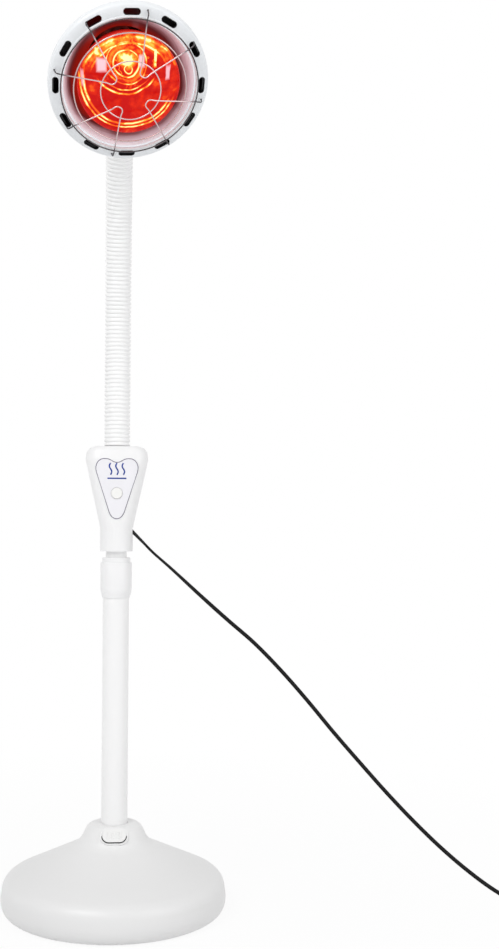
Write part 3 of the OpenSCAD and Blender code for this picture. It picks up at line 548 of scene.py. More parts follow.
def enamelled_tube(name, colour):
    """Powder enamel over drawn steel tube: a fine orange peel under a gloss."""
    finish = Finish(name, colour, 0.26)
    finish.gloss(300.0, 0.30, 0.36)
    finish.mottle(9.0, 3.0, (0.35, shaded(colour, 0.995)), (0.65, colour))
    finish.bump(finish.noise(900.0, 1.0), 0.05, 0.000003)
    finish.set(Coat_Weight=0.1, Coat_Roughness=0.15)
    return finish.material


def soft_rubber(name, colour=(0.008, 0.008, 0.009), roughness=0.5):
    """Black flexible plastic or rubber with a fine matt grain."""
    finish = Finish(name, colour, roughness)
    finish.gloss(180.0, roughness - 0.1, roughness + 0.12, 4.0)
    finish.mottle(50.0, 4.0, (0.4, colour), (0.75, shaded(colour, 1.5)))
    finish.bump(finish.noise(900.0), 0.3, 0.00004)
    finish.set(Specular_IOR_Level=0.2)
    return finish.material


def plated_metal(name, colour, roughness):
    """Plated or polished metal with fine wear marks."""
    finish = Finish(name, colour, roughness, 1.0)
    wear = finish.noise(220.0, 5.0)
    finish.feed("Roughness", finish.grade(wear, roughness * 0.6, roughness * 1.7, 0.3, 0.7))
    finish.mottle(90.0, 3.0, (0.3, shaded(colour, 0.85)), (0.6, colour))
    finish.bump(wear, 0.25, 0.00003)
    return finish.material


def cast_surface(name, colour):
    """Sand-cast or fibre-filled surface."""
    finish = Finish(name, colour, 0.7)
    pits = finish.noise(260.0, 6.0)
    finish.feed("Base Color", finish.ramp(pits, (0.35, shaded(colour, 0.6)), (0.6, colour)))
    finish.bump(pits, 0.6, 0.0004)
    return finish.material


# ---------------------------------------------------------------- sizes and colours


class LampStage(bpy.types.PropertyGroup):
    eye_height: FloatProperty(
        name="Eye height", description="Height of the camera", default=0.518, unit="LENGTH"
    )
    eye_distance: FloatProperty(
        name="Eye distance", description="Camera's distance in front of the post", default=1.600,
        unit="LENGTH",
    )
    lens: FloatProperty(name="Lens", description="Focal length in millimetres", default=44.90)
    turn: FloatProperty(
        name="Turn", description="Degrees that the camera looks right of the post", default=3.67
    )
    shift: FloatProperty(name="Shift", description="The frame's shift to the lamp's right", default=0.060)
    floor_colour: FloatVectorProperty(
        name="Floor", description="Colour of the floor", subtype="COLOR", default=(0.93, 0.93, 0.935)
    )


class LampLead(bpy.types.PropertyGroup):
    width: FloatProperty(name="Width", description="Width of the flat lead", default=0.0054, unit="LENGTH")
    thickness: FloatProperty(
        name="Thickness", description="Thickness of the lead", default=0.0033, unit="LENGTH"
    )
    length: FloatProperty(name="Length", description="Length from box to plug", default=1.8, unit="LENGTH")
    colour: FloatVectorProperty(
        name="Colour", description="Colour of the lead's sheath", subtype="COLOR",
        default=(0.002, 0.002, 0.0022),
    )


class LampStand(bpy.types.PropertyGroup):
    foot_colour: FloatVectorProperty(
        name="Foot", description="Colour of the foot's cover", subtype="COLOR", default=(0.79, 0.79, 0.79)
    )
    tube_colour: FloatVectorProperty(
        name="Tubes", description="Colour of the enamelled tubes", subtype="COLOR",
        default=(0.885, 0.885, 0.885),
    )
    body_colour: FloatVectorProperty(
        name="Plastic", description="Colour of box, collar and housing", subtype="COLOR",
        default=(0.862, 0.862, 0.866),
    )


class LampNeck(bpy.types.PropertyGroup):
    radius: FloatProperty(
        name="Radius", description="Outer radius of the sleeve", default=0.0175, unit="LENGTH"
    )
    rib_depth: FloatProperty(
        name="Rib depth", description="Depth of its grooves", default=0.0017, unit="LENGTH"
    )
    ribs: IntProperty(name="Ribs", description="Ribs on each link of the neck", default=10, min=6, max=14)
    colour: FloatVectorProperty(
        name="Colour", description="Colour of the sleeve", subtype="COLOR", default=(0.905, 0.905, 0.905)
    )


class LampHead(bpy.types.PropertyGroup):
    wire: FloatProperty(
        name="Guard wire", description="Radius of the guard's wire", default=0.0008, unit="LENGTH"
    )
    ring_colour: FloatVectorProperty(
        name="Ring", description="Colour of the front ring", subtype="COLOR", default=(0.80, 0.82, 0.84)
    )
    bulb_colour: FloatVectorProperty(
        name="Bulb", description="Colour of the stained glass", subtype="COLOR", default=(0.46, 0.004, 0.003)
    )
    glow: FloatProperty(
        name="Glow", description="Strength of the lit filament's light in the glass", default=1.0
    )


# ---------------------------------------------------------------- the stage


EYE_TILT = math.radians(92.2)
EYE_ROLL = math.radians(-0.30)
FLOOR_SIZE = 16
# Share of plain white in the floor as it is seen, from near the foot to further out, and those distances
WHITE_NEAR, WHITE_FAR = 0.92, 1.0
NEAR, FAR = 0.25, 1.1
ROOM_LIGHT = 0.62
# Name, place, turn in degrees, size and power of each light
LIGHTS = (
    ("key", (-1.5, -2.2, 2.4), (55, 0, -35), 1.6, 38),
    ("fill", (2.0, -1.9, 1.3), (72, 0, 48), 1.8, 16),
    ("rim", (0.6, 1.8, 2.2), (-50, 0, 160), 1.4, 10),
)


class LAMP_OT_stage(bpy.types.Operator):
    """Adds the floor, the lights and the camera"""

    bl_idname = "lamp.stage"
    bl_label = "Stage"

    def execute(self, context):
        sizes = context.scene.lamp_stage
        bpy.ops.object.camera_add(
            location=(0, -sizes.eye_distance, sizes.eye_height),
            rotation=(EYE_TILT, EYE_ROLL, math.radians(-sizes.turn)),
        )
        context.scene.camera = context.object
        context.object.data.lens = sizes.lens
        context.object.data.shift_x = sizes.shift
        bpy.ops.mesh.primitive_plane_add(size=FLOOR_SIZE, location=(0, 0, 0))
        floor = name_piece("floor")
        paint = Finish("studio_floor", tuple(sizes.floor_colour), 0.9)
        rays = paint.add("ShaderNodeLightPath")
        seen = paint.maths("MAXIMUM", rays.outputs["Is Camera Ray"], rays.outputs["Is Glossy Ray"])
        white = paint.add("ShaderNodeEmission", {"Color": (1, 1, 1, 1), "Strength": 1.0})
        away = paint.vector("LENGTH", paint.coords)
        share = paint.times(seen, paint.grade(away, WHITE_NEAR, WHITE_FAR, NEAR, FAR))
        mix = paint.add("ShaderNodeMixShader", {0: share, 1: paint.shader.outputs[0], 2: white.outputs[0]})
        paint.tree.links.new(mix.outputs[0], paint.tree.nodes["Material Output"].inputs["Surface"])
        dress(floor, paint.material)
        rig.stage(floor)
        for light in LIGHTS:
            self.light(*light)
        self.world(context)
        return {"FINISHED"}

    def light(self, name, place, turn, size, power):
        rotation = Euler([math.radians(a) for a in turn])
        bpy.ops.object.light_add(type="AREA", location=place, rotation=rotation)
        lamp = bpy.context.object
        lamp.name = name
        lamp.data.size = size
        lamp.data.energy = power

    def world(self, context):
        world = bpy.data.worlds.new("studio")
        context.scene.world = world
        world.use_nodes = True
        tree = world.node_tree
        sky = tree.nodes["Background"].inputs
        sky["Color"].default_value = (1, 1, 1, 1)
        rays = add_node(tree, "ShaderNodeLightPath").outputs
        seen = rays["Is Camera Ray"]
        for ray in ("Is Glossy Ray", "Is Transmission Ray"):
            seen = add_node(tree, "ShaderNodeMath", {0: seen, 1: rays[ray]}, operation="MAXIMUM").outputs[0]
        level = add_node(tree, "ShaderNodeMapRange", {"Value": seen, "To Min": ROOM_LIGHT, "To Max": 1.0})
        tree.links.new(level.outputs["Result"], sky["Strength"])


# ---------------------------------------------------------------- the lead

SLEEVE_LENGTH = 0.023
# Makes the sleeve flatter and narrower about its own axis
SLEEVE_SLIM = Matrix.Diagonal((0.52, 0.8, 1, 1))
# How far inside the sleeve's end the lead starts, and how far outside it rides fully with the carriage
LEAD_TUCK, LEAD_HELD = 0.001, 0.0181
LEAD_EXIT = SLEEVE @ Vector((0, 0, SLEEVE_LENGTH - LEAD_TUCK))
LEAD_START = SLEEVE @ Vector((0, 0, SLEEVE_LENGTH + LEAD_HELD))
# The lead's way down to the coil, in millimetres
LEAD_ROUTE = [
    LEAD_EXIT * 1000, LEAD_START * 1000, (75, -6, 451.5), (115, -10, 415), (150, -14, 384), (185, -18, 354),
    (220, -22, 318.5), (255, -26, 279), (290, -30, 237), (325, -34, 197), (360, -38, 158), (395, -42, 121.5),
    (430, -46, 88), (465, -50, 58.5), (500, -54, 33.5), (535, -58, 15), (565, -61, 5.5), (590, -63, 2.9),
    (604, -63, 2.7),
]
ROUTE_STEPS = 6
# Its turn from lying flat, in degrees, at the box and more as it hangs; and the path points over which it
# turns, counted from the box, and over which it comes to lie flat, counted back from the route's end
ROLL_AT_BOX, ROLL_HANGING = 5, 65
ROLL_FROM, ROLL_OVER = 8, 14
LAND_FROM, LAND_OVER = 30, 24
LEAD_FLOOR = Vector((0.500, -0.054, 0.0335))
COIL_CENTRE = Vector((0.604, -0.0275, 0))
COIL_RADIUS = 0.030
COIL_PITCH = 0.0055
COIL_TURNS = 5.25
COIL_STEPS = 28
# Turns after which the lower layer has wound in, the upper one starts to wind out, and the lead has risen
COIL_IN, COIL_OUT, COIL_RISE = 2.2, 2.9, 0.6
COIL_WINDING = 2.0
LAYER_FOOT, LAYER_HEIGHT = 0.0027, 0.0054
LEAD_END = [(639.5, -20, 8.1), (639.5, -8, 8), (639.5, 4, 7.6), (639.5, 15, 7.1), (639.5, 24, 6.9)]
END_STEPS = 4
LEAD_SIDES = 12
PLUG_RIBS = 200.0
PLUG_EDGE = 0.0012


def coil_points():
    """Two layers of turns, wound inwards below and outwards above."""
    points = []
    outer, inner = COIL_RADIUS + COIL_PITCH, COIL_RADIUS - COIL_PITCH
    steps = int(COIL_TURNS * COIL_STEPS)
    for i in range(1, steps):
        t = i / steps * COIL_TURNS
        if t < COIL_IN:
            radius = outer + (inner - outer) * min(t / COIL_WINDING, 1)
        else:
            radius = inner + (outer - inner) * min(max((t - COIL_OUT) / COIL_WINDING, 0), 1)
        height = LAYER_FOOT + LAYER_HEIGHT * ease((t - COIL_IN) / COIL_RISE)
        angle = math.radians(-90) + t * math.tau
        points.append(COIL_CENTRE + Vector((radius * math.cos(angle), radius * math.sin(angle), height)))
    return points


def lead_path():
    run = smooth_path([Vector(p) / 1000 for p in LEAD_ROUTE], ROUTE_STEPS)
    end = smooth_path([Vector(p) / 1000 for p in LEAD_END], END_STEPS)
    return run + coil_points() + end


def flat_tube(name, path, width, thickness, roll):
    """A flat round-edged tube along a path; roll gives its turn from lying flat at each point."""
    form = []
    core = (width - thickness) / 2
    for i in range(LEAD_SIDES):
        angle = math.tau * (i + 0.5) / LEAD_SIDES
        side = core if math.cos(angle) > 0 else -core
        form.append((side + thickness / 2 * math.cos(angle), thickness / 2 * math.sin(angle)))
    made = bmesh.new()
    rings = []
    for i, point in enumerate(path):
        way = (path[min(i + 1, len(path) - 1)] - path[max(i - 1, 0)]).normalized()
        flat = Vector((0, 0, 1)).cross(way).normalized()
        up = way.cross(flat)
        turn = roll(i)
        across = flat * math.cos(turn) + up * math.sin(turn)
        over = up * math.cos(turn) - flat * math.sin(turn)
        rings.append([made.verts.new(point + across * a + over * b) for a, b in form])
    for ring, after in zip(rings, rings[1:]):
        for j in range(LEAD_SIDES):
            k = (j + 1) % LEAD_SIDES
            made.faces.new((ring[j], ring[k], after[k], after[j]))
    made.faces.new(list(reversed(rings[0])))
    made.faces.new(rings[-1])
    bmesh.ops.recalc_face_normals(made, faces=made.faces)
    mesh = bpy.data.meshes.new(name)
    made.to_mesh(mesh)
    made.free()
    piece = bpy.data.objects.new(name, mesh)
    bpy.context.scene.collection.objects.link(piece)
    return settle(piece, angle=60)


def bead(name, path, radii, closed=False):
    """A thin round bead through points, with its own radius at each."""
    clear_selection()
    bpy.ops.curve.primitive_nurbs_path_add(location=(0, 0, 0))
    piece = name_piece(name)
    piece.data.splines.clear()
    spline = piece.data.splines.new("POLY")
    spline.points.add(len(path) - 1)
    spline.use_cyclic_u = closed
    for point, place, radius in zip(spline.points, path, radii):
        point.co = (*place, 1)
        point.radius = radius / max(radii)
    piece.data.bevel_depth = max(radii)
    piece.data.bevel_resolution = 3
    piece.data.use_fill_caps = True
    bpy.ops.object.convert(target="MESH")
    return settle(name_piece(name), angle=60)


class LAMP_OT_lead(bpy.types.Operator):
    """Lays the mains lead from the box to its coil and dresses the plug"""

    bl_idname = "lamp.lead"
    bl_label = "Mains lead"

    def execute(self, context):
        sizes = context.scene.lamp_lead
        path = lead_path()
        landing = len(LEAD_ROUTE) * ROUTE_STEPS - LAND_FROM

        def roll(i):
            """The flat lead leaves the box level, turns on edge as it hangs and comes to lie flat."""
            turn = ROLL_AT_BOX + ROLL_HANGING * ease((i - ROLL_FROM) / ROLL_OVER)
            return math.radians(turn) * (1 - ease((i - landing) / LAND_OVER))

        lead = flat_tube("mains_lead", path, sizes.width, sizes.thickness, roll)
        dress(lead, soft_rubber("lead_sheath", tuple(sizes.colour), 0.6))
        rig.blend(lead, "stand", "carriage", start=LEAD_FLOOR, end=LEAD_START)
        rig.replaces(lead, "cord_run", "cord_coil", "cord_tail")
        plug = self.plug()
        strap = soft_rubber("tie_strap", (0.02, 0.02, 0.021), 0.6)
        tie = finish_copy("cord_tie", "coil_tie", "stand", strap, "black_rubber", 30)
        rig.cord(
            lead,
            exit=path[0],
            length=sizes.length,
            diameter=sizes.width,
            far_end="plug",
            stiffness="medium",
            lay="coiled",
            path=path,
            with_pieces=[plug, tie, NODES["plug_sleeves"], NODES["plug_pins"]],
        )
        return {"FINISHED"}

    def plug(self):
        plug = copy_node("plug_body", "mains_plug")
        limit = math.radians(30)
        add_modifier(plug, "BEVEL", width=PLUG_EDGE, segments=3, limit_method="ANGLE", angle_limit=limit)
        settle(plug, angle=40)
        return fit(plug, "stand", self.ribbed(), "plug_body", "black_rubber")

    def ribbed(self):
        """Black plastic with fine grip ribs across the plug."""
        finish = Finish("plug_plastic", (0.012, 0.012, 0.013), 0.5)
        finish.gloss(400.0, 0.42, 0.58, 4.0)
        wave = {"Vector": finish.coords, "Scale": PLUG_RIBS}
        ribs = finish.add("ShaderNodeTexWave", wave, bands_direction="Y")
        finish.bump(ribs.outputs["Fac"], 0.8, 0.0004)
        return finish.material


# ---------------------------------------------------------------- foot and post


BUTTON_SPOT = (0, -0.0375, 0.1055)
BUTTON_TILT = math.radians(52)
BUTTON_SEAT = Matrix.Translation(BUTTON_SPOT) @ Matrix.Rotation(BUTTON_TILT, 4, "X")
SPRING_FOOT = BUTTON_SEAT @ Vector((0, 0, -0.015))
SPRING_KEEP = 0.76
# Half the button's straight side, its corner's radius, and the height and thinnest and added radius of the dark bead of
# painted shadow along its lower edge
GAP_SHADOW_STRAIGHT, GAP_SHADOW_CORNER, GAP_SHADOW_HEIGHT = 0.00675, 0.0095, 0.0013
GAP_SHADOW_THIN, GAP_SHADOW_SWELL = 0.0002, 0.00045
GAP_SHADOW_STEPS = 36


class LAMP_OT_foot(bpy.types.Operator):
    """Finishes the weighted foot, its hump and the oval release button"""

    bl_idname = "lamp.foot"
    bl_label = "Foot"

    def execute(self, context):
        sizes = context.scene.lamp_stand
        cover = self.painted_shade_tone(tuple(sizes.foot_colour))
        finish_copy("base_cover", "foot_cover", "stand", cover, "cover_plastic", 38)
        pale = moulded_plastic("foot_button_plastic", (0.84, 0.84, 0.835), 0.36)
        finish_copy("release_button", "foot_button", "release_button", pale, "cover_plastic", 38)
        # A dark bead painted as the shadow of the gap under the button's lower edge.
        fit(self.button_gap_shadow(), "stand", soft_rubber("gap_shadow_dark", (0.03, 0.03, 0.03)), slot="black_rubber")
        dress_nodes(soft_rubber("foot_pad", (0.05, 0.05, 0.052), 0.7), "base_pad")
        steel = plated_metal("zinc_plate", (0.62, 0.62, 0.64), 0.32)
        dress_nodes(steel, "base_plate", "base_screws")
        spring = finish_copy("release_spring", "button_spring", "stand", steel, "screw_steel", 60)
        press = BUTTON_SEAT.to_3x3() @ Vector((0, 0, -1))
        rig.squash(spring, "release_press", axis=press, anchor=SPRING_FOOT, keep=SPRING_KEEP)
        dress_nodes(cast_surface("cast_weight", (0.06, 0.06, 0.063)), "base_weight")
        dress_nodes(moulded_plastic("inner_plastic", (0.10, 0.10, 0.11), 0.5), "post_socket")
        return {"FINISHED"}

    def painted_shade_tone(self, colour):
        """Moulded plastic with painted shade, a shade deeper round the rim, and painted light, a shade paler on the
        hump.
        """
        finish = Finish("foot_plastic_painted_shade", colour, 0.36)
        cloud = finish.maths("MULTIPLY_ADD", finish.noise(14.0, 3.0), 0.02, -0.01)
        rise = finish.maths("MULTIPLY_ADD", finish.part(finish.coords, "Z"), 10.0, cloud)
        # The rim's deeper tone is painted shade and the hump's paler tone is painted light, graded by height.
        rim, hump = shaded(colour, 0.94), shaded(colour, 1.05)
        finish.feed("Base Color", finish.ramp(rise, (0.12, rim), (0.42, colour), (0.62, colour), (1.0, hump)))
        finish.gloss(160.0, 0.33, 0.41)
        finish.orange_peel()
        return finish.material

    def button_gap_shadow(self):
        """A thin dark bead of painted shadow in the gap along the button's lower edge, widest at its middle."""
        path, radii = [], []
        for k in range(GAP_SHADOW_STEPS + 1):
            angle = math.pi * (1 + k / GAP_SHADOW_STEPS)
            side = GAP_SHADOW_STRAIGHT if k > GAP_SHADOW_STEPS // 2 else -GAP_SHADOW_STRAIGHT
            x, y = side + GAP_SHADOW_CORNER * math.cos(angle), GAP_SHADOW_CORNER * math.sin(angle)
            path.append(BUTTON_SEAT @ Vector((x, y, GAP_SHADOW_HEIGHT)))
            radii.append(GAP_SHADOW_THIN + GAP_SHADOW_SWELL * math.sin(math.pi * k / GAP_SHADOW_STEPS) ** 0.5)
        return bead("button_gap_shadow", path, radii)


class LAMP_OT_post(bpy.types.Operator):
    """Finishes both tubes, the twist collar and the gripping ferrule"""

    bl_idname = "lamp.post"
    bl_label = "Post"

    def execute(self, context):
        sizes = context.scene.lamp_stand
        enamel = enamelled_tube("tube_enamel", tuple(sizes.tube_colour))
        finish_copy("lower_post", "outer_tube", "stand", enamel, "pole_enamel", 40)
        finish_copy("upper_post", "inner_tube", "carriage", enamel, "pole_enamel", 40)
        plastic = moulded_plastic("collar_plastic", tuple(sizes.body_colour))
        finish_copy("lock_collar", "twist_collar", "collar", plastic, "body_plastic", 35)
        dress_nodes(moulded_plastic("ferrule_plastic", (0.55, 0.55, 0.56), 0.45), "post_ferrule")
        dress_nodes(moulded_plastic("bush_plastic", (0.09, 0.09, 0.1), 0.5), "guide_bush")
        return {"FINISHED"}


# ---------------------------------------------------------------- control box


PLATE_WIDTH = 0.0584
PLATE_HEIGHT = 0.082
PLATE_FOOT = 0.518


def shield_outline(half_width, height):
    """Outline of the face plate, centred on x = 0: two round lobes over a round tip, from the notch round."""
    w, h = 2 * half_width, height
    half = (
        curve_points((0, h * 0.938), (w * 0.06, h * 0.938), (w * 0.13, h * 0.97), 5)
        + curve_points((w * 0.14, h * 0.974), (w * 0.2, h), (w * 0.27, h), 5)
        + curve_points((w * 0.3, h), (w * 0.43, h), (w * 0.485, h * 0.905), 9)
        + curve_points((w * 0.49, h * 0.89), (w * 0.51, h * 0.85), (w * 0.48, h * 0.77), 6)
        + curve_points((w * 0.2, h * 0.16), (w * 0.14, 0), (0, 0), 12)
    )
    return half + [(-x, z) for x, z in reversed(half[1:-1])]


# The printed edge line's distance from the plate's edge, and half the widths of that line and of the sign's
EDGE_MARGIN, EDGE_LINE, SIGN_LINE = 0.0012, 0.0006, 0.0012
WAVE_SPACING, WAVE_SWING, WAVE_STEPS = 0.0085, 0.0016, 14
WAVE_FOOT, WAVE_HEIGHT = 0.5775, 0.0155
BASE_LENGTH, BASE_HEIGHT, BASE_STEPS = 0.025, 0.5728, 8
# Share of a line's half width that its middle stands out of the film
LINE_LIFT = 0.55


class LAMP_OT_box(bpy.types.Operator):
    """Finishes the control box, its face plate and its push button"""

    bl_idname = "lamp.box"
    bl_label = "Control box"

    def execute(self, context):
        sizes = context.scene.lamp_stand
        plastic = moulded_plastic("box_plastic", tuple(sizes.body_colour))
        for node, name in (("box_front_shell", "box_front"), ("box_rear_shell", "box_rear")):
            finish_copy(node, name, "carriage", plastic, "body_plastic", 30)
        self.print_on(finish_copy("panel_overlay", "face_plate", "carriage", self.film(), "panel_film", 30))
        ivory = moulded_plastic("button_plastic", (0.86, 0.86, 0.84), 0.4)
        finish_copy("power_button", "push_button", "power_button", ivory, "button_plastic", 35)
        sleeve = copy_node("strain_relief", "lead_sleeve")
        sleeve.data.transform(SLEEVE @ SLEEVE_SLIM @ SLEEVE.inverted())
        settle(sleeve, angle=35)
        fit(sleeve, "carriage", soft_rubber("sleeve_rubber"), "strain_relief", "black_rubber")
        dress_nodes(bpy.data.materials["inner_plastic"], "switch_body", "post_clamp")
        dress_nodes(plastic, "neck_anchor")
        dress_nodes(bpy.data.materials["zinc_plate"], "box_frame", "box_screws")
        dress_nodes(moulded_plastic("board_laminate", (0.02, 0.12, 0.05), 0.4), "circuit_board")
        return {"FINISHED"}

    def print_on(self, film):
        """Lays the edge line and a plain heat-wave sign on the film."""
        ink = soft_rubber("edge_ink", (0.10, 0.09, 0.13), 0.4)
        blue = soft_rubber("sign_ink", (0.010, 0.04, 0.26), 0.4)
        outline = shield_outline(PLATE_WIDTH / 2 - EDGE_MARGIN, PLATE_HEIGHT - 2 * EDGE_MARGIN)
        edge = [(x, PLATE_FOOT + EDGE_MARGIN + z) for x, z in outline]
        lines = [("plate_edge", edge, EDGE_LINE, ink, True)]
        steps = [t / WAVE_STEPS for t in range(WAVE_STEPS + 1)]
        for k, x in enumerate((-WAVE_SPACING, 0.0, WAVE_SPACING)):
            wave = [(x + WAVE_SWING * math.sin(t * math.tau), WAVE_FOOT + WAVE_HEIGHT * t) for t in steps]
            lines.append((f"sign_wave_{k + 1}", wave, SIGN_LINE, blue, False))
        base = [(BASE_LENGTH * (t / BASE_STEPS - 0.5), BASE_HEIGHT) for t in range(BASE_STEPS + 1)]
        lines.append(("sign_base", base, SIGN_LINE, blue, False))
        for name, places, radius, paint, closed in lines:
            fit(self.raised_line(name, places, radius, film, closed), "carriage", paint, slot="panel_film")

    def raised_line(self, name, places, radius, film, closed):
        """A line that stands a little out of the film, drawn through places across it."""
        path = []
        for x, z in places:
            hit, where, _, _ = film.ray_cast((x, -0.1, z), (0, 1, 0))
            if not hit:
                raise RuntimeError(f"{name} misses the film at {x:.4f}, {z:.4f}")
            path.append(where + Vector((0, radius * LINE_LIFT, 0)))
        return bead(name, path, [radius] * len(path), closed)

    def film(self):
        """Pale printed film with a faint mottle and uneven gloss."""
        pale = (0.835, 0.83, 0.865)
        finish = Finish("film_print", pale, 0.35)
        finish.mottle(30.0, 3.0, (0.35, shaded(pale, 0.98)), (0.65, pale))
        finish.gloss(300.0, 0.3, 0.42)
        return finish.material


# ---------------------------------------------------------------- gooseneck


# How far the sleeve ends short of the neck, and how far each bend reaches from its joint
SLEEVE_SHORT = 0.0016
BEND_REACH = 0.024
SLEEVE_WALL = 0.0012
GROOVE_EASE, CREST_EASE = 0.0004, 0.0003
SLEEVE_SIDES = 64
GUIDE_STEPS = 120


class LAMP_OT_neck(bpy.types.Operator):
    """Turns the ribbed sleeve in nine lengths that bend across the neck's joints"""

    bl_idname = "lamp.neck"
    bl_label = "Gooseneck"

    def execute(self, context):
        sizes = context.scene.lamp_neck
        plastic = moulded_plastic("sleeve_plastic", tuple(sizes.colour), 0.38)
        link = NECK_LENGTH / NECK_LINKS
        guide = self.guide(context)
        cuts = [0.0] + [link * (k - 0.5) for k in range(1, NECK_LINKS + 1)] + [NECK_LENGTH - SLEEVE_SHORT]
        for k, (start, end) in enumerate(zip(cuts, cuts[1:])):
            piece = self.sleeve(f"neck_sleeve_{k + 1}", start, end, link, sizes)
            add_modifier(piece, "CURVE", object=guide, deform_axis="POS_Z")
            settle(piece, angle=50)
            dress(piece, plastic)
            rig.slot(piece, "hose_plastic")
            if k in (0, NECK_LINKS):
                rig.ride(piece, LINK_BODIES[min(k, NECK_LINKS - 1)])
            else:
                start, end = (neck_point(link * k + reach) for reach in (-BEND_REACH, BEND_REACH))
                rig.blend(piece, LINK_BODIES[k - 1], LINK_BODIES[k], start, end)
            if k < NECK_LINKS:
                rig.replaces(piece, f"neck_hose_{k + 1}")
        bpy.data.objects.remove(guide)
        alloy = plated_metal("link_alloy", (0.72, 0.72, 0.74), 0.3)
        dress_nodes(alloy, "neck_top_ferrule", *(f"neck_core_{k + 1}" for k in range(NECK_LINKS)))
        return {"FINISHED"}

    def guide(self, context):
        """The neck's centreline as a curve that the sleeve is bent along."""
        curve = bpy.data.curves.new("neck_line", "CURVE")
        curve.dimensions = "3D"
        spline = curve.splines.new("POLY")
        spline.points.add(GUIDE_STEPS)
        for i, point in enumerate(spline.points):
            point.co = (*neck_point(NECK_LENGTH * i / GUIDE_STEPS), 1)
        guide = bpy.data.objects.new("neck_line", curve)
        context.scene.collection.objects.link(guide)
        return guide

    def sleeve(self, name, start, end, link, sizes):
        """One length of sleeve, standing on Z from its start to its end."""
        count = max(round((end - start) / link * sizes.ribs), 1)
        pitch = (end - start) / count
        crest, groove = sizes.radius, sizes.radius - sizes.rib_depth
        bore = groove - SLEEVE_WALL
        flank = [
            (groove, 0), (groove, 0.10), (groove + GROOVE_EASE, 0.17), (crest - CREST_EASE, 0.24),
            (crest, 0.34),
        ]
        rib = flank + [(r, 1 - z) for r, z in reversed(flank)]
        profile = [(bore, 0)] + [(r, z * pitch) for r, z in rib] + [(bore, pitch)]
        piece = turn_profile(name, profile, SLEEVE_SIDES)
        add_modifier(
            piece, "ARRAY", count=count, use_relative_offset=False, use_constant_offset=True,
            constant_offset_displace=(0, 0, pitch), use_merge_vertices=True, merge_threshold=SEAM,
        )
        pick(piece)
        bpy.ops.object.mode_set(mode="EDIT")
        self.cap(piece)
        close_up()
        piece.data.transform(Matrix.Translation((0, 0, start)))
        return piece

    def cap(self, piece):
        """Closes the bore's wall and the two ends."""
        bpy.ops.mesh.select_all(action="DESELECT")
        made = bmesh.from_edit_mesh(piece.data)
        for edge in made.edges:
            edge.select = edge.is_boundary
        made.select_flush(True)
        bmesh.update_edit_mesh(piece.data)
        bpy.ops.mesh.bridge_edge_loops()


# ---------------------------------------------------------------- head


# Colour of painted shade, inside the head and on the bowl's back and beyond its mouth
PAINTED_SHADE = (0.02, 0.02, 0.022)
# Radii over which the ring's lips pass from painted shade to their own colour, and where the bowl's mouth ends
OUTER_LIP = (0.0918, 0.0924)
INNER_LIP = (0.0804, 0.0812)
BOWL_MOUTH = (0.0805, 0.0815)
# The bowl's painted reflections from the mouth inwards, each (place, colour)
BOWL_PAINTED_REFLECTION = (
    (0.0, (0.78, 0.82, 0.86)), (0.18, (0.73, 0.73, 0.79)), (0.32, (0.55, 0.51, 0.56)),
    (0.44, (0.30, 0.19, 0.21)), (0.56, (0.11, 0.028, 0.031)), (0.70, (0.30, 0.018, 0.010)),
    (1.0, (0.50, 0.022, 0.009)),
)


